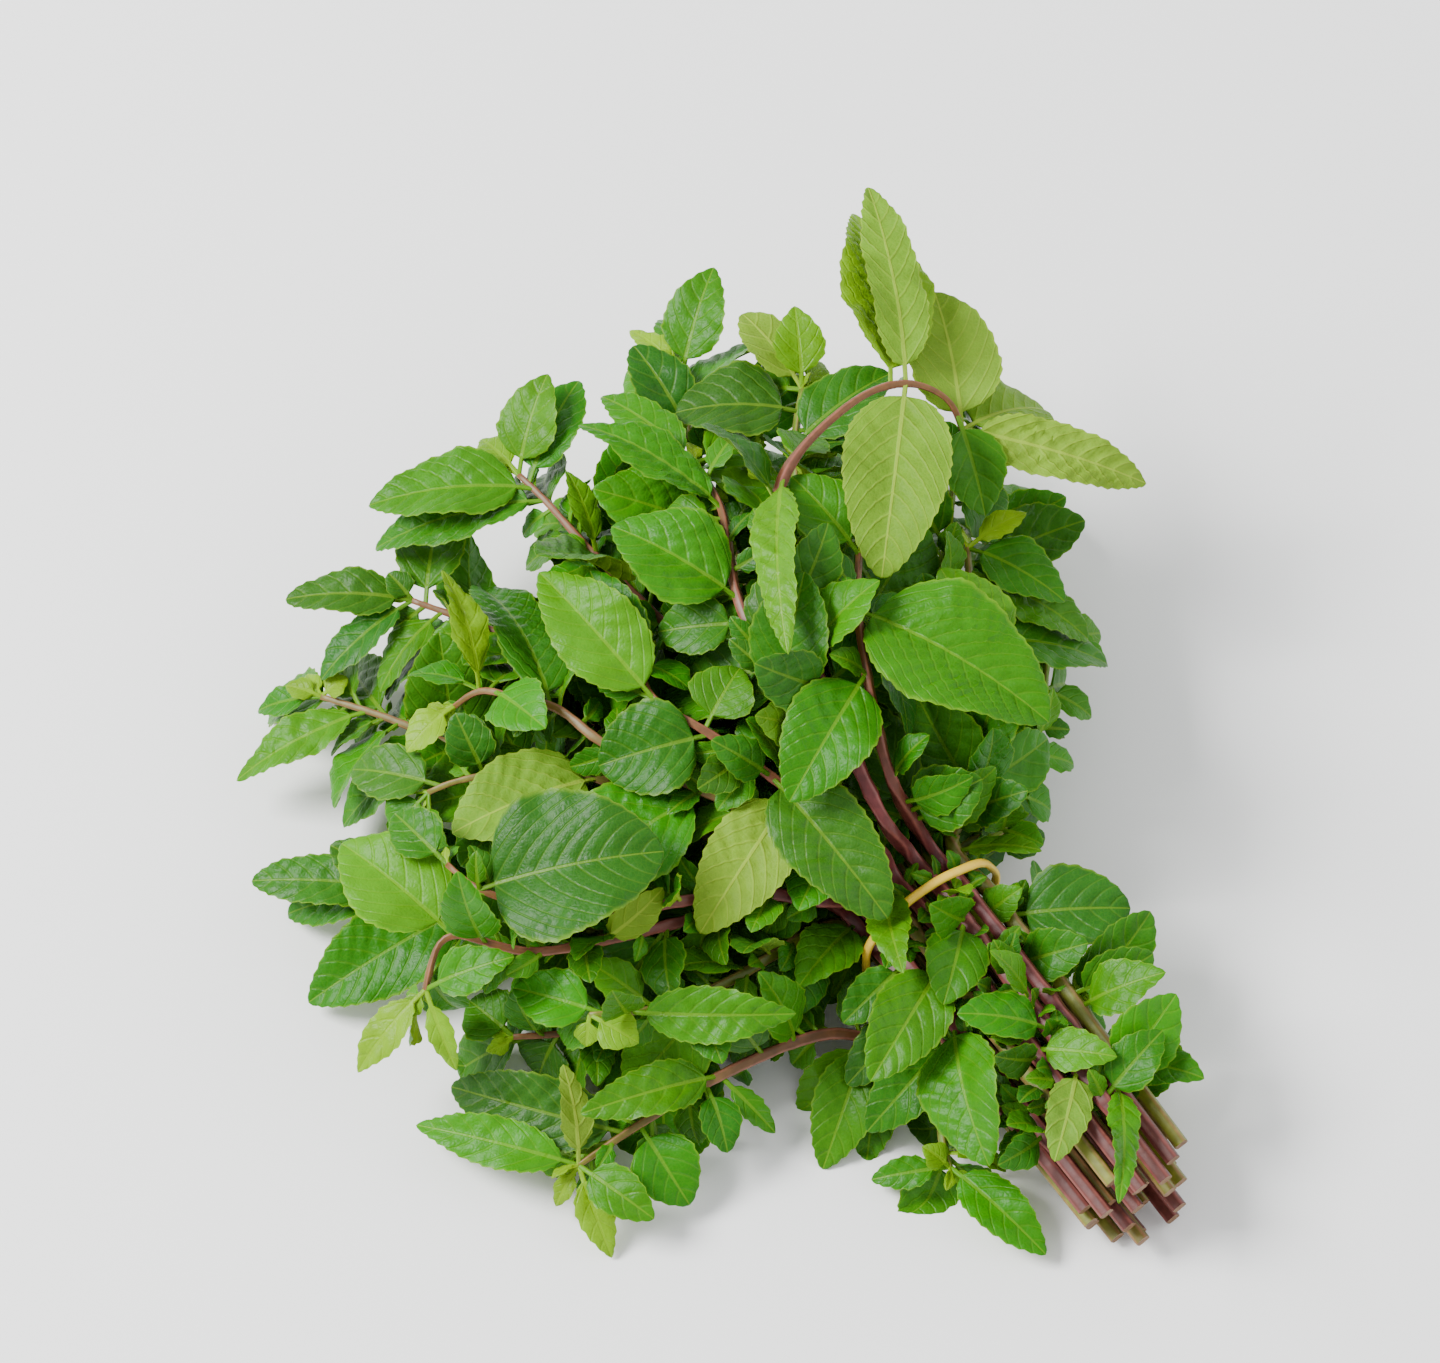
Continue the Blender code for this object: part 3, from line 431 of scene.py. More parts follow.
class Stem:
    """A stem as closely spaced samples along a smooth curve, each with its place, and its
    leaves, each with its look."""

    def __init__(self, node, points, first_place):
        self.node = node
        self.leaves = []
        places = [0.0]
        for i in range(len(points) - 1):
            parts = math.ceil(np.linalg.norm(points[i + 1] - points[i]) / STEM_SAMPLE)
            places += [i + (k + 1) / parts for k in range(parts)]
        self.line = np.array([on_curve(points, place) for place in places])
        self.places = np.array(places) + first_place

    def at(self, place):
        return np.array([np.interp(place, self.places, self.line[:, axis]) for axis in range(3)])

    def distances(self):
        gaps = np.linalg.norm(np.diff(self.line, axis=0), axis=1)
        return np.concatenate([[0], np.cumsum(gaps)])

    def facets(self):
        """The few points and corner radii that a plain tube round the stem runs between."""
        count = max(2, round((len(self.line) - 1) / SAMPLES_PER_FACET) + 1)
        kept = np.linspace(0, len(self.line) - 1, count).round().astype(int)
        share = self.distances()[kept] / self.distances()[-1]
        shrink = STEM_CORNER_AT_CUT - STEM_CORNER_AT_TIP
        return self.line[kept], STEM_CORNER_AT_CUT - shrink * share**STEM_TAPER_POWER


def lay_stems():
    """{name: Stem}: each from its cut end straight through the band, then along its own route."""
    stems = {}
    for name, (start, more, route, _) in SPRIGS.items():
        points = [spot(*point) for point in route]
        if start in SPRIGS:
            stems[name] = Stem(start, [stems[start].at(more)] + points, -1)
            continue
        right, up = start
        inside = BAND_MIDDLE + np.array([right, 0, up])
        run = np.array([0, STRAIGHT_RUN, 0])
        cut = np.array([right * CUT_END_SPREAD, -more, up * CUT_END_SPREAD - CUT_END_DROP])
        points = [BAND_MIDDLE + cut, inside - run, inside + run] + points
        stems[name] = Stem(name, points, -3)
    bend_clear(list(stems.values()))
    return stems


def bend_clear(stems):
    """Bends the stems clear of each other past the band: samples of two stems that are closer
    than the spacing push each other apart, and each stem's shifts are smoothed along it."""
    owner = np.concatenate([np.full(len(stem.line), i) for i, stem in enumerate(stems)])
    node = np.array([stem.node for stem in stems])[owner]
    free = np.concatenate([np.clip(stem.places + 1, 0, 1) for stem in stems])
    spots = np.concatenate([stem.line for stem in stems])
    strangers = node[:, None] != node[None]
    for _ in range(SPREADING_ROUNDS):
        between = spots[:, None] - spots[None]
        gap = np.linalg.norm(between, axis=2) + TINY
        push = np.where(strangers & (gap < STEM_SPACING), (STEM_SPACING - gap) / gap, 0)
        touching = np.maximum((push > 0).sum(axis=1), 1)
        shift = (between * push[..., None]).sum(axis=1) / touching[:, None]
        for i in range(len(stems)):
            mine = np.flatnonzero(owner == i)
            ends = np.concatenate([mine[:1], mine, mine[-1:]])
            shift[mine] = 0.5 * shift[mine] + 0.25 * (shift[ends[:-2]] + shift[ends[2:]])
        spots = spots + shift * free[:, None]
        spots[:, 2] = np.maximum(spots[:, 2], STEM_LOWEST)
    for i, stem in enumerate(stems):
        stem.line = spots[owner == i]


stems = lay_stems()

# The leaves, laid out.
# Toothed, short-stalked leaves in opposite pairs, each pair a quarter turn round from the last.
# Where they grow is settled first, with plain blades that are tested clear of each other. Then
# come small young leaves in the angles of the pairs and in a tuft at the end of each stem.
BAND_RADIUS = 20.6
BAND_THICKNESS = 2.5
BAND_SEGMENTS = 28
BLADE_THICKNESS = 0.7
STALK_THICKNESS = 1.1
STALK_HALF_WIDTH = 0.65
STALK_LENGTH = 4.2
STALK_MOST = 0.22
THREE_TEETH_FROM = 38.0
TOOTH_DEPTH = 0.10
FIRST_TOOTH = 0.13
LAST_TOOTH = 0.81
STALK_UNTIL = 0.5
WIDEST_POWER = 0.72
FULLNESS = 0.70
ARCH = 0.09
FOLD = 0.20
WAVE = 0.035
WAVES = 1.5
DROOP = 0.06
CLEARANCE = 0.35
OWN_ROOT_LENGTH = 4.4
LONGEST_ROOT_SHARE = 0.45
LOWEST_TIP = -13.0

# Leaves face up, and lean a little away from a point in the middle of the fan
FAN_MIDDLE = 60.0
OUTWARD_LEAN = 0.35
LEAN_REACH = 30.0

# How far a leaf that the picture shows may give way: its tip's rise, its turn, then its size
SEEN_RISES = range(-26, 27, 2)
SEEN_TURNS = (0, 12, -12, 24, -24, 38, -38)
SEEN_SIZES = (1.0, 0.9, 0.78)
RISE_UNIT = 2
TURN_UNIT = 9
FALL_FAVOUR = 0.2
TURN_FAVOUR = 0.1
TIP_KEPT = 0.4

# Pairs of leaves that the picture hides: their places, lengths, angles, looks and tries
AT_BAND = -1.5
PAIR_SPACING = 38.0
FIRST_PAIR = 24.0
TAKEN_NEAR = 0.4
LEAST_LENGTH = 30.0
LENGTH_SWELL = 17.0
SWELL_REACH = 1.15
LENGTH_SPREAD = (0.88, 1.1)
WIDTH_SHARES = (0.62, 0.78)
ODD_PAIR_ANGLE = 0.25 * math.pi
EVEN_PAIR_ANGLE = 0.75 * math.pi
PAIR_WOBBLE = 0.3
SPREAD_DEGREES = (38, 78)
MOST_TURN = 35
GROWN_TRIES = 48
TURN_PER_TRY = 0.05
SHRINK_PER_TRY = 0.008
GROWN_LOOKS = (0.45, 1.0)
YOUNGER_BY_TIP = 0.25

# The points of a new leaf, as shares of its length and half width, that may hide nothing shown
HIDING_SPOTS = (
    (0.3, 0), (0.5, 0), (0.75, 0), (1, 0), (0.3, -0.85), (0.3, 0.85), (0.55, -0.85), (0.55, 0.85),
    (0.8, -0.5), (0.8, 0.5),
)
BARE_SAMPLES = 12
BARE_CORNER = 3.0

# The small leaves: between the pairs, over the stems below the band, and in the tufts
SMALL_CLEARANCE = 0.12
SMALL_WIDTHS = (0.5, 0.72)
SMALL_MOST_TURN = 50
SMALL_SPACING = 7.0
SMALL_SHIFT = 3
SMALL_LOOKS = (0.3, 1.0)
SMALL_LENGTHS = ((25, 40), (18, 32), (14, 26))
SMALL_SPREAD = (22, 85)
SMALL_TRIES = 14
SMALL_SHRINK = 0.045
SMALL_LEAST = 0.3
ALL_ROUND = (0, 2 * math.pi)
BELOW_LENGTHS = (19, 37)
BELOW_SPREAD = (36, 140)
BELOW_TURNS = (0.08 * math.pi, 0.92 * math.pi)
BELOW_SPACING = 3.0
BELOW_TRIES = 36
BELOW_BARE = 0.25
BELOW_LOOKS = (0.25, 1.0)
TUFT_LEAVES = 5
TUFT_LENGTHS = (7, 13)
TUFT_SPREAD = (8, 42)
BOX_MARGIN = 1.0


def square_tube(line, corners, extra=0.0):
    """(points, faces) of a plain square tube along a line, closed flat at both ends."""
    tangents = np.gradient(line, axis=0)
    side = np.cross(tangents[0], FIRST_SIDE)
    rings = []
    for point, tangent, corner in zip(line, tangents, corners):
        forward = unit(tangent)
        side = unit(side - forward * (side @ forward))
        other = np.cross(forward, side)
        rings.append([point + (corner + extra) * arm for arm in (side, other, -side, -other)])
    faces = []
    for i in range(len(line) - 1):
        for k in range(4):
            a, b = 4 * i + k, 4 * i + (k + 1) % 4
            faces += [(a, b, b + 4), (a, b + 4, a + 4)]
    last = 4 * (len(line) - 1)
    faces += [(0, 2, 1), (0, 3, 2), (last, last + 1, last + 2), (last, last + 2, last + 3)]
    return np.array(rings).reshape(-1, 3), faces


def outline(share):
    """Half a blade's width, as a share of its greatest: the sine of pi times the share of its
    length, raised to the widest power, all raised to the fullness."""
    if not 0 < share < 1:
        return 0.0
    return math.sin(math.pi * share**WIDEST_POWER) ** FULLNESS


def zip_chains(a, a_shares, b, b_shares):
    """Triangles between two chains of points that run the same way and end at the same point."""
    faces, i, j = [], 0, 0
    while i < len(a) - 2 or j < len(b) - 2:
        if j == len(b) - 2 or (i < len(a) - 2 and a_shares[i + 1] <= b_shares[j + 1]):
            faces.append((a[i], b[j], a[i + 1]))
            i += 1
        else:
            faces.append((a[i], b[j], b[j + 1]))
            j += 1
    faces.append((a[i], b[j], a[-1]))
    return faces


def plain_blade(leaf, extra=0.0, cut_off=0.0):
    """(points, faces) of a leaf with few faces, for testing that it is clear of the others.
    extra thickens it, and cut_off leaves out that much of its length at the root."""
    root, tip, normal, width, phase = leaf
    along = tip - root
    length = np.linalg.norm(along)
    along = along / length
    across = np.cross(along, normal)
    stalk = min(STALK_LENGTH / length, STALK_MOST)
    start = min(cut_off / length, LONGEST_ROOT_SHARE)
    teeth = 3 if length > THREE_TEETH_FROM else 2
    notches = 2 * teeth - 1
    side_shares = [start] if start else [0.0, stalk]
    side_cuts = [1.0] * len(side_shares)
    for k in range(notches):
        share = stalk + (1 - stalk) * (FIRST_TOOTH + (LAST_TOOTH - FIRST_TOOTH) * k / (notches - 1))
        if share > start:
            side_shares.append(share)
            side_cuts.append(1.0 if (k + teeth) % 2 else 1.0 - TOOTH_DEPTH)
    rib_shares = [k / teeth for k in range(1, teeth) if k / teeth > start]

    def surface(share, side, cut):
        full = outline((share - stalk) / (1 - stalk))
        half = max(width / 2 * full * cut, STALK_HALF_WIDTH if share < STALK_UNTIL else 0.0)
        lift = ARCH * length * 4 * share * (1 - share) + FOLD * half * abs(side)
        ripple = math.sin(2 * math.pi * WAVES * share + phase + side)
        lift += WAVE * length * ripple * abs(side) * full
        return root + along * (length * share) + across * (half * side) + normal * lift

    rib = [surface(share, 0, 1) for share in rib_shares]
    left = [surface(share, -1, cut) for share, cut in zip(side_shares, side_cuts)]
    right = [surface(share, 1, cut) for share, cut in zip(side_shares, side_cuts)]
    sheet = np.array(rib + left + right + [surface(1.0, 0, 1)])
    shares = np.array(rib_shares + side_shares + side_shares + [1.0])
    thick = np.where(shares <= stalk, STALK_THICKNESS, BLADE_THICKNESS)[:, None] / 2
    lowest = sheet[:, 2] - np.abs(normal[2] * thick[:, 0])
    sheet[:, 2] -= np.minimum(lowest, 0)
    offset = normal * (thick + extra)

    end = len(sheet) - 1
    ribs = [*range(len(rib)), end]
    lefts = [*range(len(rib), len(rib) + len(left)), end]
    rights = [*range(len(rib) + len(left), end), end]
    upper = []
    if not start:
        upper = [(lefts[0], rights[0], rights[1]), (lefts[0], rights[1], lefts[1])]
    base = 0 if start else 1
    upper.append((lefts[base], rights[base], ribs[0]))
    upper += zip_chains(lefts[base:], side_shares[base:], ribs, rib_shares)
    mirrored = zip_chains(rights[base:], side_shares[base:], ribs, rib_shares)
    upper += [(b, a, c) for a, b, c in mirrored]
    edge = [lefts[0]] + rights + lefts[-2:0:-1]
    size = len(sheet)
    faces = list(upper)
    faces += [(c + size, b + size, a + size) for a, b, c in upper]
    for a, b in zip(edge, edge[1:] + edge[:1]):
        faces += [(a + size, b + size, b), (a + size, b, a)]
    return np.concatenate([sheet + offset, sheet - offset]), faces


class Thicket:
    """All the stems and leaves placed so far, and whether a new one would touch them. Leaves of
    one node may meet near their roots."""

    def __init__(self):
        self.nodes, self.lows, self.highs, self.trees = [], [], [], []

    def add(self, node, solid, trees):
        self.nodes.append(node)
        self.lows.append(solid[0].min(axis=0))
        self.highs.append(solid[0].max(axis=0))
        self.trees.append(trees)

    def touches(self, node, solid, trees):
        low, high = solid[0].min(axis=0), solid[0].max(axis=0)
        apart = (low > np.array(self.highs)) | (high < np.array(self.lows))
        for i in np.flatnonzero(~apart.any(axis=1)):
            own = self.nodes[i] == node
            if self.trees[i][own].overlap(trees[own]):
                return True
        return False

    def try_leaf(self, node, leaf, clearance=CLEARANCE):
        """Adds the leaf and says so, if it is clear of everything."""
        solid = plain_blade(leaf, clearance)
        beyond_root = plain_blade(leaf, clearance, OWN_ROOT_LENGTH)
        trees = [BVHTree.FromPolygons(part[0].tolist(), part[1]) for part in (solid, beyond_root)]
        if self.touches(node, solid, trees):
            return False
        self.add(node, solid, trees)
        return True


def leaf_at(root, tip, width, turn, phase):
    """A leaf that faces up and outwards, turned about its own length by turn degrees."""
    along = unit(tip - root)
    outward = (root - BAND_MIDDLE - np.array([0, FAN_MIDDLE, 0])) * np.array([1, 1, 0])
    lean = OUTWARD_LEAN / (np.linalg.norm(outward) + LEAN_REACH)
    facing = np.array([0, 0, 1.0]) + lean * outward
    normal = unit(facing - along * (facing @ along))
    side = np.cross(along, normal)
    angle = math.radians(turn)
    return root, tip, normal * math.cos(angle) + side * math.sin(angle), width, phase


def giving_way(change):
    """How far a seen leaf gives way by a rise and a turn. A fall counts a little less."""
    rise, turn = change
    return abs(rise + FALL_FAVOUR) / RISE_UNIT + abs(turn + TURN_FAVOUR) / TURN_UNIT


def place_seen_leaf(thicket, stem, seen, draw):
    """A leaf that the picture shows: where its own place is taken, its tip moves along the line
    of sight and it turns about its length, by as little as will do."""
    place, x, y, height, width, turn, look = seen
    root = stem.at(place)
    phase = draw.uniform(0, 2 * math.pi)
    tries = sorted(((rise, more) for rise in SEEN_RISES for more in SEEN_TURNS), key=giving_way)
    for size in SEEN_SIZES:
        for rise, more in tries:
            far_tip = spot(x, y, max(height + rise, LOWEST_TIP))
            tip = root + (far_tip - root) * (TIP_KEPT + (1 - TIP_KEPT) * size)
            leaf = leaf_at(root, tip, width * size, turn + more, phase)
            if thicket.try_leaf(stem.node, leaf):
                stem.leaves.append((leaf, look))
                return


def hides(leaf, shown):
    """Whether a leaf would stand before something that the picture shows."""
    root, tip, normal, width, _ = leaf
    along = tip - root
    across = np.cross(unit(along), normal) * width / 2
    points = [root + along * share + across * side for share, side in HIDING_SPOTS]
    return any(shown.ray_cast(Vector(point), -back)[0] is not None for point in points)


def grown_tip(root, forward, turn, spread, size):
    """The tip of a leaf that leaves the stem's forward direction by a spread, at a turn about
    the stem."""
    across = unit(np.cross(forward, [0, 0, 1.0]))
    up = np.cross(across, forward)
    outward = math.cos(turn) * across + math.sin(turn) * up
    return root + (math.cos(spread) * forward + math.sin(spread) * outward) * size


def place_grown_leaf(thicket, shown, stem, root, forward, angle, length, draw, look):
    """A leaf that the picture hides: it grows forward and outwards at an angle about the stem,
    and is turned and at last shortened until it is clear, and hides nothing shown."""
    phase = draw.uniform(0, 2 * math.pi)
    for attempt in range(GROWN_TRIES):
        turn = angle + draw.uniform(-1, 1) * TURN_PER_TRY * attempt
        spread = math.radians(draw.uniform(*SPREAD_DEGREES))
        size = length * (1 - SHRINK_PER_TRY * attempt)
        tip = grown_tip(root, forward, turn, spread, size)
        tip[2] = max(tip[2] - DROOP * size, LOWEST_TIP)
        width = size * draw.uniform(*WIDTH_SHARES)
        leaf = leaf_at(root, tip, width, draw.uniform(-MOST_TURN, MOST_TURN), phase)
        if not hides(leaf, shown) and thicket.try_leaf(stem.node, leaf):
            stem.leaves.append((leaf, look))
            return


def band_outline():
    """(points, faces) of a plain ring round the band, which the leaves keep clear of."""
    points, faces, sides = [], [], 4
    reach = math.sqrt(2) * (BAND_THICKNESS / 2 + CLEARANCE)
    for i in range(BAND_SEGMENTS):
        around = 2 * math.pi * i / BAND_SEGMENTS
        for k in range(sides):
            turn = 2 * math.pi * k / sides
            out = BAND_RADIUS + reach * math.cos(turn)
            arm = np.array([out * math.cos(around), reach * math.sin(turn), out * math.sin(around)])
            points.append(BAND_MIDDLE + arm)
            j, m = (i + 1) % BAND_SEGMENTS, (k + 1) % sides
            faces.append((i * sides + k, j * sides + k, j * sides + m, i * sides + m))
    return np.array(points), faces


def shown_tree():
    """A search tree of the leaves that the picture shows, the bare stretches and the band."""
    solids = [plain_blade(leaf) for stem in stems.values() for leaf, _ in stem.leaves]
    solids.append(band_outline())
    for name, stretches in BARE_STRETCHES.items():
        for first, last in stretches:
            places = np.linspace(first, last, BARE_SAMPLES)
            line = np.array([stems[name].at(place) for place in places])
            solids.append(square_tube(line, np.full(BARE_SAMPLES, BARE_CORNER)))
    points, faces = [], []
    for solid_points, solid_faces in solids:
        start = len(points)
        faces += [tuple(corner + start for corner in face) for face in solid_faces]
        points += solid_points.tolist()
    return BVHTree.FromPolygons(points, faces)


def grow_pairs(thicket):
    """Grows the leaves that the picture shows, from the top of the bunch down, then those that
    fill each stem in opposite, crossed pairs. Returns the search tree of what is shown."""
    for name, stem in stems.items():
        draw = random.Random(f"{SEED} {name} seen")
        for seen in SPRIGS[name][3]:
            place_seen_leaf(thicket, stem, seen, draw)
    shown = shown_tree()
    for name, stem in stems.items():
        draw = random.Random(f"{SEED} {name} grown")
        looks = random.Random(f"{SEED} {name} looks")
        distances = stem.distances()
        at_band = np.interp(AT_BAND, stem.places, distances)
        start = FIRST_PAIR / 2 if SPRIGS[name][0] in SPRIGS else at_band + FIRST_PAIR
        pairs = max(1, round((distances[-1] - start) / PAIR_SPACING))
        seen_roots = np.array([leaf[0] for leaf, _ in stem.leaves]).reshape(-1, 3)
        for pair in range(pairs + 1):
            share = pair / pairs
            i = int(np.abs(distances - start - share * (distances[-1] - start)).argmin())
            near = np.linalg.norm(seen_roots - stem.line[i], axis=1) < TAKEN_NEAR * PAIR_SPACING
            forward = unit(stem.line[min(i + 1, len(distances) - 1)] - stem.line[i - 1])
            swell = math.sin(math.pi * min(share * SWELL_REACH, 1))
            length = (LEAST_LENGTH + LENGTH_SWELL * swell) * draw.uniform(*LENGTH_SPREAD)
            angle = ODD_PAIR_ANGLE if pair % 2 else EVEN_PAIR_ANGLE
            angle += draw.uniform(-PAIR_WOBBLE, PAIR_WOBBLE)
            for side in range(max(0, 2 - int(near.sum()))):
                turn = angle + side * math.pi
                look = looks.uniform(*GROWN_LOOKS) - YOUNGER_BY_TIP * share
                place_grown_leaf(thicket, shown, stem, stem.line[i], forward, turn, length, draw, look)
    return shown


def in_box(leaf):
    """Whether a leaf lies inside the CAD model's box, with a little to spare."""
    points = plain_blade(leaf)[0] * MM + to_frame
    low, high = np.array(cad_box[0]) + BOX_MARGIN * MM, np.array(cad_box[1]) - BOX_MARGIN * MM
    low[2] = -1
    return bool((points >= low).all() and (points <= high).all())


def place_small_leaf(thicket, shown, stem, i, length, spread_range, draw, look, tries, turns=ALL_ROUND):
    """A small young leaf at sample i of a stem, tried at random angles about it, ever shorter."""
    forward = unit(stem.line[min(i + 1, len(stem.line) - 1)] - stem.line[max(i - 1, 0)])
    for attempt in range(tries):
        turn = draw.uniform(*turns)
        spread = math.radians(draw.uniform(*spread_range))
        size = length * max(1 - SMALL_SHRINK * attempt, SMALL_LEAST)
        tip = grown_tip(stem.line[i], forward, turn, spread, size)
        tip[2] = max(tip[2], LOWEST_TIP)
        width = size * draw.uniform(*SMALL_WIDTHS)
        phase = draw.uniform(0, 2 * math.pi)
        more = draw.uniform(-SMALL_MOST_TURN, SMALL_MOST_TURN)
        leaf = leaf_at(stem.line[i], tip, width, more, phase)
        if hides(leaf, shown) or not in_box(leaf):
            continue
        if thicket.try_leaf(stem.node, leaf, SMALL_CLEARANCE):
            stem.leaves.append((leaf, look))
            return


def grow_small(thicket, shown):
    """Grows the tufts at the ends of the stems, then small leaves over the stems below the band,
    then those between the pairs, the larger ones first."""
    for name, stem in stems.items():
        draw = random.Random(f"{SEED} {name} tuft")
        last = len(stem.line) - 1
        for _ in range(TUFT_LEAVES):
            length = draw.uniform(*TUFT_LENGTHS)
            place_small_leaf(thicket, shown, stem, last, length, TUFT_SPREAD, draw, YOUNG, SMALL_TRIES)
    for name, stem in stems.items():
        draw = random.Random(f"{SEED} {name} below the band")
        if stem.places[0] > -2:
            continue
        distances = stem.distances()
        band = np.interp(AT_BAND, stem.places, distances)
        for distance in np.arange(BELOW_BARE * band, band, BELOW_SPACING):
            i = int(np.abs(distances - distance).argmin())
            length = draw.uniform(*BELOW_LENGTHS)
            look = draw.uniform(*BELOW_LOOKS)
            place_small_leaf(thicket, shown, stem, i, length, BELOW_SPREAD, draw, look,
                             BELOW_TRIES, BELOW_TURNS)
    for lengths in SMALL_LENGTHS:
        for name, stem in stems.items():
            draw = random.Random(f"{SEED} {name} small {lengths}")
            distances = stem.distances()
            band = np.interp(AT_BAND, stem.places, distances) if stem.places[0] < -2 else 0
            for distance in np.arange(band + SMALL_SPACING, distances[-1], SMALL_SPACING):
                length = draw.uniform(*lengths)
                look = draw.uniform(*SMALL_LOOKS)
                shifted = distance + draw.uniform(-SMALL_SHIFT, SMALL_SHIFT)
                i = min(max(int(np.abs(distances - shifted).argmin()), 1), len(stem.line) - 1)
                place_small_leaf(thicket, shown, stem, i, length, SMALL_SPREAD, draw, look, SMALL_TRIES)


thicket = Thicket()
ring = band_outline()
thicket.add("band", ring, [BVHTree.FromPolygons(ring[0].tolist(), ring[1])] * 2)
for stem in stems.values():
    tube = square_tube(*stem.facets(), CLEARANCE)
    thicket.add(stem.node, tube, [BVHTree.FromPolygons(tube[0].tolist(), tube[1])] * 2)
grow_small(thicket, grow_pairs(thicket))

# The stems' skin and cut ends.
# Each stem's surface is a rounded square profile carried along its path, a little swollen where
# leaves grow out, drawn in to a point at the tip and cut flat at the base.
PROFILE_POINTS = 16
PATH_STEP = 2.0
GROOVE = 0.20
TIP_CORNER = 0.75
BRANCH_CORNER = 1.6
STEM_NARROWING = 2.2
SWELLING = 0.22
SWELLING_LENGTH = 2.4
CUT_DISH = 0.4
SHARP_EDGE = math.radians(62)
SPECKLE_SIZE = 2.381
FIBRE_SIZE = 1.111


def new_piece(name, points, faces, materials, face_materials, attributes):
    """A mesh object from points in mm, faces, each face's material and vector attributes."""
    mesh = bpy.data.meshes.new(name)
    inside = np.clip(points * MM + to_frame, np.array(cad_box[0]), np.array(cad_box[1]))
    mesh.from_pydata(inside.tolist(), [], faces)
    for made in materials:
        mesh.materials.append(made)
    mesh.polygons.foreach_set("material_index", np.asarray(face_materials, dtype=np.int32))
    for key, values in attributes.items():
        layer = mesh.attributes.new(key, "FLOAT_VECTOR", "POINT")
        layer.data.foreach_set("vector", np.asarray(values, dtype=np.float32).ravel())
    mesh.shade_smooth()
    mesh.set_sharp_from_angle(angle=SHARP_EDGE)
    made = bpy.data.objects.new(name, mesh)
    bpy.context.scene.collection.objects.link(made)
    return made


def tube_faces(rows, around):
    """Quads between the rows of a grid that closes round, facing out, as an array."""
    i, k = np.meshgrid(np.arange(rows - 1), np.arange(around), indexing="ij")
    after = (k + 1) % around
    return np.stack([
        i * around + k, (i + 1) * around + k, (i + 1) * around + after, i * around + after,
    ], axis=-1).reshape(-1, 4)


def fan_faces(ring, pole, turned):
    """Triangles from a ring of points to a pole."""
    after = np.roll(ring, -1)
    first, second = (after, ring) if turned else (ring, after)
    return np.stack([np.full(len(ring), pole), first, second], axis=-1)


def stem_surface(stem, redness, base):
    """(points, quads, triangles, attribute) of a stem. At angle a about its path its radius is
    the corner radius, less the groove times the square of the sine of 2a. The corner radius
    falls to the tip, and swells by a bell curve at each leaf root."""
    distances = stem.distances()
    steps = np.linspace(0, distances[-1], max(8, int(distances[-1] / PATH_STEP)))
    line = np.stack([np.interp(steps, distances, stem.line[:, axis]) for axis in range(3)], axis=1)
    for _ in range(2):
        line[1:-1] = 0.5 * line[1:-1] + 0.25 * (line[:-2] + line[2:])
    share = steps / distances[-1]
    tangent = np.gradient(line, axis=0)
    tangent /= np.linalg.norm(tangent, axis=1)[:, None]
    side = np.cross(tangent, FIRST_SIDE)
    side /= np.linalg.norm(side, axis=1)[:, None]
    other = np.cross(tangent, side)
    corner = base + (TIP_CORNER - base) * share**STEM_NARROWING
    roots = np.array([leaf[0] for leaf, _ in stem.leaves])
    nearest = np.linalg.norm(line[:, None] - roots[None], axis=2).min(axis=1)
    corner *= 1 + SWELLING * np.exp(-(nearest / SWELLING_LENGTH) ** 2)
    angle = 2 * math.pi * np.arange(PROFILE_POINTS) / PROFILE_POINTS
    ridge = np.sin(2 * angle) ** 2
    radius = corner[:, None] * (1 - GROOVE * ridge[None])
    arms = (side[:, None] * np.cos(angle)[None, :, None] + other[:, None] * np.sin(angle)[None, :, None])
    points = (line[:, None] + arms * radius[..., None]).reshape(-1, 3)
    rows = len(line)
    poles = np.array([line[0] + tangent[0] * CUT_DISH, line[-1] + tangent[-1] * TIP_CORNER])
    count = rows * PROFILE_POINTS
    ring = np.arange(PROFILE_POINTS)
    quads = tube_faces(rows, PROFILE_POINTS)[:, ::-1]
    fans = [fan_faces(ring, count, True), fan_faces(ring + count - PROFILE_POINTS, count + 1, False)]
    red = redness[0] + (redness[1] - redness[0]) * share[:, None]
    where = np.stack(np.broadcast_arrays(share[:, None], ridge[None], red), axis=-1).reshape(-1, 3)
    where = np.concatenate([where, [[0, 1, redness[0]], [1, 1, redness[1]]]])
    return np.concatenate([points, poles]), quads, np.concatenate(fans), where


# Mint stem: a thin, waxy living skin, purple-brown where the light reached it, with dull
# grooves. A pale pink painted highlight runs along each rib, mixed into the colour itself.
stem_skin, tree, shader = new_material("living_mint_stem_skin", Roughness=0.42, IOR=1.42)
place = add_node(tree, "SeparateXYZ", {
    0: add_node(tree, "Attribute", attribute_name="stem_place").outputs["Vector"],
})
speckle = add_node(tree, "TexNoise", {
    "Vector": add_node(tree, "TexCoord").outputs["Object"], "Scale": 1 / (SPECKLE_SIZE * MM),
    "Detail": 3.0,
})
purple = add_node(tree, "ValToRGB", {"Fac": place.outputs["X"]},
                  ((0, "#57261f"), (0.55, "#6c2f30"), (1, "#6a4a1c")))
green = add_node(tree, "ValToRGB", {"Fac": place.outputs["X"]}, ((0, "#747a1c"), (1, "#5f8c12")))
blend = add_node(tree, "Mix", {0: place.outputs["Z"], 6: green.outputs[0], 7: purple.outputs[0]},
                 data_type="RGBA")
# Painted highlight: the rounded ribs are mixed towards pale pink #b06a62, standing in for the sheen of
# light along them
ribs = add_node(tree, "MapRange", {"Value": place.outputs["Y"], 1: 0.0, 2: 0.45, 3: 0.42, 4: 0.0})
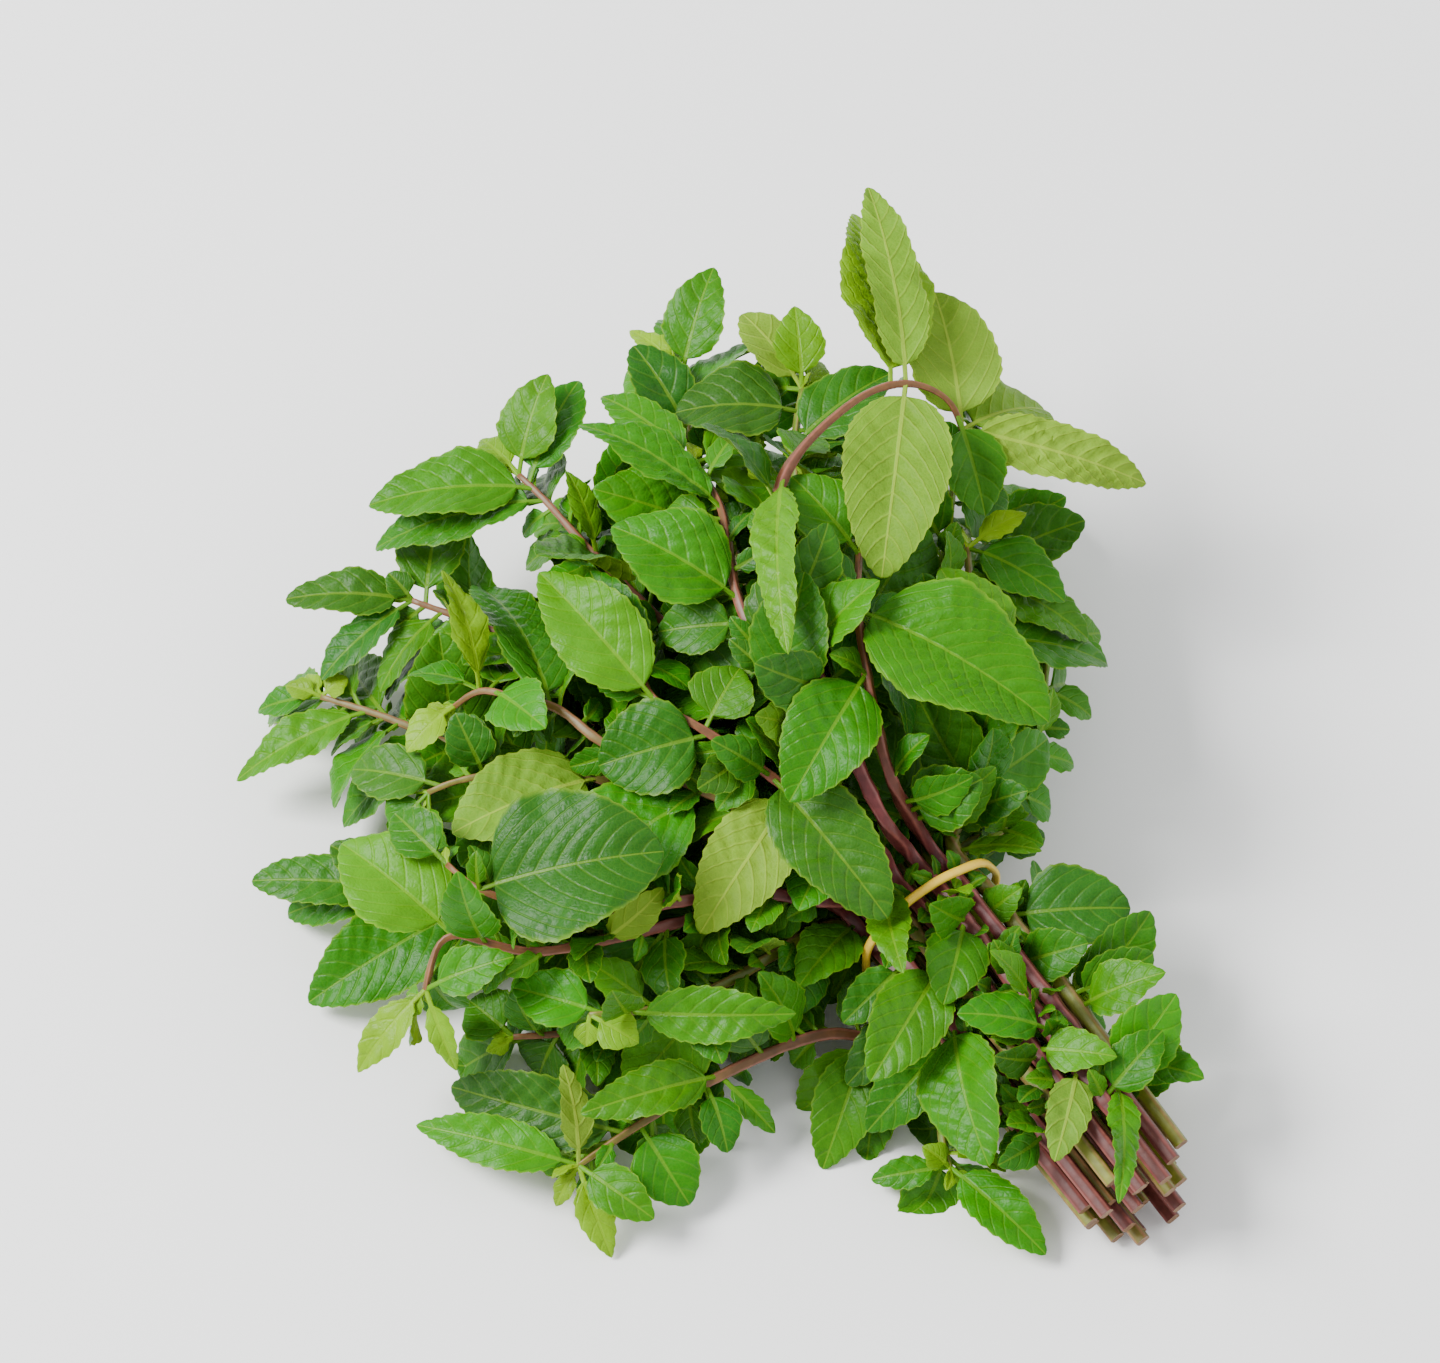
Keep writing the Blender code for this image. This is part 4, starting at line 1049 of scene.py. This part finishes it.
rib_highlighted = add_node(tree, "Mix", {0: ribs.outputs[0], 6: blend.outputs[2], 7: colour("#b06a62")},
                  data_type="RGBA")
dots = add_node(tree, "MapRange", {"Value": speckle.outputs["Fac"], 1: 0.35, 2: 0.7, 3: 0.78, 4: 1.15})
spotted = add_node(tree, "HueSaturation", {"Value": dots.outputs[0], "Color": rib_highlighted.outputs[2]})
tree.links.new(spotted.outputs["Color"], shader.inputs["Base Color"])
bump = add_node(tree, "Bump", {"Height": speckle.outputs["Fac"], "Strength": 0.25, "Distance": 0.0003})
tree.links.new(bump.outputs["Normal"], shader.inputs["Normal"])

# Cut stem: a ring of fibre round a pale pith, browned by the air since it was cut. The fibres are
# drawn several times as coarse as real ones, so that they show.
cut_stem, tree, shader = new_material("cut_mint_stem", Roughness=0.6)
fibre = add_node(tree, "TexNoise", {
    "Vector": add_node(tree, "TexCoord").outputs["Object"], "Scale": 1 / (FIBRE_SIZE * MM),
})
browned = add_node(tree, "ValToRGB", {"Fac": fibre.outputs["Fac"]}, ((0, "#4a261a"), (1, "#8f6c42")))
tree.links.new(browned.outputs["Color"], shader.inputs["Base Color"])

nodes = sorted({stem.node for stem in stems.values()})
for node in nodes:
    parts, quads, triangles, where, cuts = [], [], [], [], []
    start = 0
    for name, stem in stems.items():
        if stem.node != node:
            continue
        redness = PALE_STEMS.get(name, (1.0, 1.0))
        base = BRANCH_CORNER if SPRIGS[name][0] in SPRIGS else STEM_CORNER_AT_CUT
        points, its_quads, its_triangles, its_where = stem_surface(stem, redness, base)
        parts.append(points)
        quads.append(its_quads + start)
        triangles.append(its_triangles + start)
        where.append(its_where)
        cuts += [1] * PROFILE_POINTS + [0] * PROFILE_POINTS
        start += len(points)
    faces = np.concatenate(quads).tolist() + np.concatenate(triangles).tolist()
    face_materials = [0] * sum(len(part) for part in quads) + cuts
    piece = new_piece(f"sprig_{node}_stem", np.concatenate(parts), faces, [stem_skin, cut_stem],
                      face_materials, {"stem_place": np.concatenate(where)})
    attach(piece, "root")
    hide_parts(f"sprig_{node}")

# The leaves themselves.
# Each is a thin, living blade on a short stalk: fine forward teeth along its edge, a midrib, and
# side veins that curve towards the tip, sunken above and raised below, with the tissue puffed
# up between them. The upper side is darker and glossier than the underside.
TOOTH_SPACING = 2.8
FINE_TOOTH_DEPTH = 0.5
TOOTH_FADE = 5
SHARPEST = 0.80
BLUNTING = 0.28
HALF_ARCH = 0.8
RIPPLE = 0.011
RIPPLES = 4.5
COLUMN_WIDTH = 2.2
EASE = 0.45
LEAF_HALF_THICKNESS = 0.22
STALK_HALF_THICKNESS = 0.5
VEIN_SPACING = 5.2
VEIN_RISE = 0.75
VEIN_BEND = 1.1
PLEAT_SHARPNESS = 1.25
PUFF = (0.014, 0.040)
PUFF_FROM_RIB = 1.3
RIB_HEIGHT = 0.35
RIB_HALF_WIDTH = 0.7
RIB_SKIN_WIDTHS = (0.22, 0.5)
FEWEST_TEETH = 3
FEWEST_VEINS = 4
HALF_COLUMNS = (3, 9)
DEEPEST_TOOTH = 0.16
TOOTHED_FROM = 1.5
STALK_BLEND = 0.1
UNDER_AGE = 0.75
AGE_SPREAD = 0.08
JUST_CLEAR = 0.02
PATCH_SIZE = 6.6667
CELL_SIZE = 1.1765


def leaf_surface(leaf, look, draw):
    """(points, triangles, under faces, veins, growth) of one leaf. A flat ring round the
    blade's section is carried from root to tip. Its half width is the outline, blunter with
    age, cut by forward teeth. It rises by the arch, the fold and the wave, as the plain blade
    does, with each half arched up between rib and edge, and by the puff: the sine of the vein
    number, which falls off towards the edge and the rib."""
    root, tip, normal, width, phase = leaf
    along = tip - root
    length = np.linalg.norm(along)
    along = along / length
    across = np.cross(along, normal)
    stalk = min(STALK_LENGTH / length, STALK_MOST)
    teeth = max(FEWEST_TEETH, round(length * (1 - stalk) / TOOTH_SPACING))
    step = np.linspace(0, 1, 3 * teeth + 1)[:-1]
    blade_share = (1 - EASE) * step + EASE * (1 - np.cos(np.pi * step)) / 2
    share = np.concatenate([[0, stalk / 2], stalk + (1 - stalk) * blade_share])
    b = np.concatenate([[0, 0], blade_share])
    saw = np.concatenate([[1, 1], (np.arange(3 * teeth) % 3) / 2])
    columns = 2 * int(np.clip(round(width / COLUMN_WIDTH / 2), *HALF_COLUMNS))
    k = np.arange(2 * columns)
    side = np.abs(2 * k / columns - 2) - 1
    above = np.where(k < columns, 1.0, -1.0)

    share, b, saw = share[:, None], b[:, None], saw[:, None]
    side, above = side[None], above[None]
    age = UNDER_AGE if look == UNDER else look
    full = np.sin(np.pi * b**WIDEST_POWER) ** (SHARPEST - BLUNTING * age)
    half = np.maximum(width / 2 * full, np.where(share < STALK_UNTIL, STALK_HALF_WIDTH, 0.0))
    depth = np.minimum(FINE_TOOTH_DEPTH / np.maximum(half, STALK_HALF_WIDTH / 10), DEEPEST_TOOTH)
    depth = depth * (half > TOOTHED_FROM)
    x = half * side * (1 - depth * (1 - saw) * np.abs(side) ** TOOTH_FADE)
    lift = ARCH * length * 4 * share * (1 - share)
    lift = lift + FOLD * half * np.abs(side) * (1 + HALF_ARCH * (1 - np.abs(side)))
    ripple = np.sin(2 * np.pi * RIPPLES * b + phase) * np.abs(side) ** 3
    wave = np.sin(2 * np.pi * WAVES * share + phase + side) * np.abs(side)
    lift = lift + RIPPLE * length * ripple * full
    lift = lift + WAVE * length * wave * full
    facing = -1 if look == UNDER else 1
    veins = max(FEWEST_VEINS, round(length * (1 - stalk) / VEIN_SPACING))
    vein = veins * (b - VEIN_RISE * np.abs(x) / length * (1 + VEIN_BEND * np.abs(side)))
    puff = (np.abs(np.sin(np.pi * vein)) ** PLEAT_SHARPNESS - 0.5) * np.sqrt(full)
    puff = puff * (1 - side**4) * (1 - np.exp(-(x / PUFF_FROM_RIB) ** 2))
    lift = lift + puff * draw.uniform(*PUFF) * length * facing
    thin = np.clip(b / STALK_BLEND, 0, 1)
    half_thick = (1 - thin) * STALK_HALF_THICKNESS * np.sqrt(1 - side**2)
    half_thick = half_thick + thin * LEAF_HALF_THICKNESS * np.sqrt(1 - side**6)
    rib = RIB_HEIGHT * (1 - b) * thin * np.exp(-(x / RIB_HALF_WIDTH) ** 2) * (above != facing)
    offset = above * (half_thick + rib)
    sheet = root + along * (length * share)[..., None]
    sheet = sheet + across * x[..., None] + normal * lift[..., None]
    low = sheet[..., 2] - np.abs(normal[2]) * half_thick
    sheet[..., 2] -= np.minimum(low, 0)
    points = (sheet + normal * offset[..., None]).reshape(-1, 3)
    points[:, 2] = np.maximum(points[:, 2], JUST_CLEAR)

    rows, around = len(share), 2 * columns
    count = rows * around
    end = tip.copy()
    end[2] = max(end[2], LEAF_HALF_THICKNESS)
    poles = np.array([root, end])
    ring = np.arange(around)
    quads = tube_faces(rows, around)
    top = k < columns
    tops = np.tile(top, rows - 1)
    triangles = np.concatenate([
        np.where(tops[:, None], quads[:, [0, 1, 2]], quads[:, [0, 1, 3]]),
        np.where(tops[:, None], quads[:, [0, 2, 3]], quads[:, [1, 2, 3]]),
        fan_faces(ring, count, False),
        fan_faces(ring + count - around, count + 1, True),
    ])
    under_faces = np.concatenate([tops, tops, top, top]) != (facing > 0)
    tip_width, more = RIB_SKIN_WIDTHS
    rib_share = np.abs(x) / (tip_width + more * (1 - b))
    veins_at = np.stack(np.broadcast_arrays(vein, rib_share, np.abs(side)), axis=-1).reshape(-1, 3)
    veins_at = np.concatenate([veins_at, [[0, 0, 0], [veins, 0, 1]]])
    aged = age + draw.uniform(-AGE_SPREAD, AGE_SPREAD)
    tone = [aged, draw.uniform(0, 1), draw.uniform(0, 1)]
    growth = np.tile(tone, (len(veins_at), 1))
    return np.concatenate([points, poles]), triangles, under_faces, veins_at, growth


def leaf_skin(name, ramp, vein_colour, rib_pale, vein_pale, vein_height, roughness, gloss):
    """The skin of one side of a mint leaf, coloured by age, with its ribs, veins and cells. The
    net of fine veins is drawn about twice as coarse as the real one, so that it shows."""
    made, tree, shader = new_material(name, Roughness=roughness, IOR=1.45)
    shader.inputs["Specular IOR Level"].default_value = 0.2
    shader.inputs["Subsurface Weight"].default_value = 0.1
    shader.inputs["Subsurface Radius"].default_value = (0.5, 1.0, 0.05)
    shader.inputs["Subsurface Scale"].default_value = 0.8 * MM
    growth = add_node(tree, "SeparateXYZ", {
        0: add_node(tree, "Attribute", attribute_name="growth").outputs["Vector"],
    })
    at = add_node(tree, "SeparateXYZ", {
        0: add_node(tree, "Attribute", attribute_name="veins").outputs["Vector"],
    })
    place = add_node(tree, "TexCoord").outputs["Object"]
    mottle = add_node(tree, "TexNoise", {"Vector": place, "Scale": 1 / (PATCH_SIZE * MM), "Detail": 4.0})
    cells = add_node(tree, "TexVoronoi", {"Vector": place, "Scale": 1 / (CELL_SIZE * MM)},
                     feature="DISTANCE_TO_EDGE")

    # Colour: by age, with a brightness and a hue of its own for each leaf, and faint patches
    aged = add_node(tree, "ValToRGB", {"Fac": growth.outputs["X"]}, ramp)
    brightness = add_node(tree, "MapRange", {"Value": growth.outputs["Y"], 3: 0.84, 4: 1.16})
    patches = add_node(tree, "MapRange", {
        "Value": mottle.outputs["Fac"], 1: 0.3, 2: 0.7, 3: 0.86, 4: 1.1,
    })
    both = add_node(tree, "Math", {0: brightness.outputs[0], 1: patches.outputs[0]},
                    operation="MULTIPLY")
    hue = add_node(tree, "MapRange", {"Value": growth.outputs["Z"], 3: 0.488, 4: 0.508})
    toned = add_node(tree, "HueSaturation", {
        "Color": aged.outputs["Color"], "Value": both.outputs[0], "Hue": hue.outputs[0],
    })

    # Veins: a side vein runs where the vein number is whole, and the rib down the middle
    part = add_node(tree, "Math", {0: at.outputs["X"]}, operation="FRACT")
    middle = add_node(tree, "Math", {0: part.outputs[0], 1: 0.5}, operation="SUBTRACT")
    away = add_node(tree, "Math", {0: middle.outputs[0]}, operation="ABSOLUTE")
    side_vein = add_node(tree, "MapRange", {"Value": away.outputs[0], 1: 0.36, 2: 0.5, 3: 0.0, 4: 1.0},
                         interpolation_type="SMOOTHSTEP")
    rib = add_node(tree, "MapRange", {"Value": at.outputs["Y"], 1: 0.5, 2: 1.1, 3: 1.0, 4: 0.0},
                   interpolation_type="SMOOTHSTEP")
    fine_vein = add_node(tree, "MapRange", {
        "Value": cells.outputs["Distance"], 1: 0.0, 2: 0.12, 3: 1.0, 4: 0.0,
    })
    margin = add_node(tree, "MapRange", {"Value": at.outputs["Z"], 1: 0.9, 2: 1.0, 3: 0.0, 4: 0.3},
                      interpolation_type="SMOOTHSTEP")
    pale = margin.outputs[0]
    for vein, share in ((side_vein, vein_pale), (fine_vein, 0.35 * vein_pale), (rib, rib_pale)):
        shown = add_node(tree, "Math", {0: vein.outputs[0], 1: share}, operation="MULTIPLY")
        pale = add_node(tree, "Math", {0: shown.outputs[0], 1: pale}, operation="MAXIMUM").outputs[0]
    veined = add_node(tree, "Mix", {0: pale, 6: toned.outputs["Color"], 7: colour(vein_colour)},
                      data_type="RGBA")
    tree.links.new(veined.outputs[2], shader.inputs["Base Color"])
    shine = add_node(tree, "MapRange", {
        "Value": mottle.outputs["Fac"], 3: roughness - gloss, 4: roughness + gloss,
    })
    tree.links.new(shine.outputs[0], shader.inputs["Roughness"])

    # Relief: the veins sink in or stand out, and the cells between the fine veins bulge a little
    small = add_node(tree, "Math", {0: cells.outputs["Distance"], 1: 0.6}, operation="MULTIPLY")
    line = add_node(tree, "Math", {0: side_vein.outputs[0], 1: rib.outputs[0]}, operation="MAXIMUM")
    relief = add_node(tree, "Math", {0: line.outputs[0], 1: vein_height, 2: small.outputs[0]},
                      operation="MULTIPLY_ADD")
    bump = add_node(tree, "Bump", {"Height": relief.outputs[0], "Strength": 0.5, "Distance": 0.4 * MM})
    tree.links.new(bump.outputs["Normal"], shader.inputs["Normal"])
    return made


# The upper side: a waxy skin over green tissue, so a saturated green with soft highlights
upper_skin = leaf_skin(
    "waxy_upper_leaf_skin", ((0, "#6f9700"), (0.33, "#317600"), (0.65, "#2a6b00"), (1, "#235810")),
    "#8aac20", rib_pale=0.26, vein_pale=0.10, vein_height=-0.6, roughness=0.40, gloss=0.10,
)
# The underside: no wax and full of air, so paler, greyer and dull, with raised pale veins
under_skin = leaf_skin(
    "airy_leaf_underside", ((0, "#98b000"), (0.33, "#769c0c"), (0.65, "#689018"), (1, "#5c8426")),
    "#a0b83a", rib_pale=0.5, vein_pale=0.22, vein_height=1.0, roughness=0.6, gloss=0.06,
)

for node in nodes:
    parts, triangles, sides, veins_at, growth = [], [], [], [], []
    start = 0
    draw = random.Random(f"{SEED} {node} colours")
    for stem in stems.values():
        if stem.node != node:
            continue
        for leaf, look in stem.leaves:
            points, its_triangles, under, its_veins, its_growth = leaf_surface(leaf, look, draw)
            parts.append(points)
            triangles.append(its_triangles + start)
            sides.append(under)
            veins_at.append(its_veins)
            growth.append(its_growth)
            start += len(points)
    faces = np.concatenate(triangles).tolist()
    attributes = {"veins": np.concatenate(veins_at), "growth": np.concatenate(growth)}
    piece = new_piece(f"sprig_{node}_leaves", np.concatenate(parts), faces, [upper_skin, under_skin],
                      np.concatenate(sides), attributes)
    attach(piece, "root")
    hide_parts(f"sprig_{node}")

# The rubber band.
# One thin band of yellow natural rubber, stretched once round the stems, so it runs in short,
# nearly straight stretches from one outer stem to the next and is a little flattened.
BAND_AROUND = 180
BAND_SECTION = 14
BAND_HALF_HEIGHT = 0.95
BAND_HALF_WIDTH = 1.22
BAND_WANDER = 0.35
BAND_CORNERS = 9
BAND_FLATTENING = 0.25
DUST_SIZE = 1.6667

around = 2 * math.pi * np.arange(BAND_AROUND) / BAND_AROUND
turn = 2 * math.pi * np.arange(BAND_SECTION) / BAND_SECTION
wander = BAND_WANDER * (np.sin(3 * around + 0.6) + 0.5 * np.sin(7 * around + 2.0)) / 1.5
corners = BAND_FLATTENING * (np.cos(BAND_CORNERS * around) - 1)
out = BAND_RADIUS + corners[:, None] + BAND_HALF_HEIGHT * np.cos(turn)[None]
run = wander[:, None] + BAND_HALF_WIDTH * np.sin(turn)[None]
band_points = BAND_MIDDLE + np.stack([
    out * np.cos(around)[:, None], run, out * np.sin(around)[:, None],
], axis=-1)
band_faces = tube_faces(BAND_AROUND + 1, BAND_SECTION) % (BAND_AROUND * BAND_SECTION)

# Natural rubber, extruded and cut: a dull, slightly dusty yellow with faint lengthwise dimples
rubber, tree, shader = new_material("yellow_natural_rubber", Roughness=0.5, IOR=1.52)
dust = add_node(tree, "TexNoise", {
    "Vector": add_node(tree, "TexCoord").outputs["Object"], "Scale": 1 / (DUST_SIZE * MM),
    "Detail": 3.0,
})
yellow = add_node(tree, "ValToRGB", {"Fac": dust.outputs["Fac"]}, ((0, "#f3bc18"), (1, "#ffe04c")))
tree.links.new(yellow.outputs["Color"], shader.inputs["Base Color"])
dimples = add_node(tree, "Bump", {"Height": dust.outputs["Fac"], "Strength": 0.3, "Distance": 0.0002})
tree.links.new(dimples.outputs["Normal"], shader.inputs["Normal"])

band = new_piece("yellow_band", band_points.reshape(-1, 3), band_faces.tolist(), [rubber],
                 [0] * len(band_faces), {})
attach(band, "root")
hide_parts("rubber_band")

corners = {"cad": cad_box, "visual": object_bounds()}
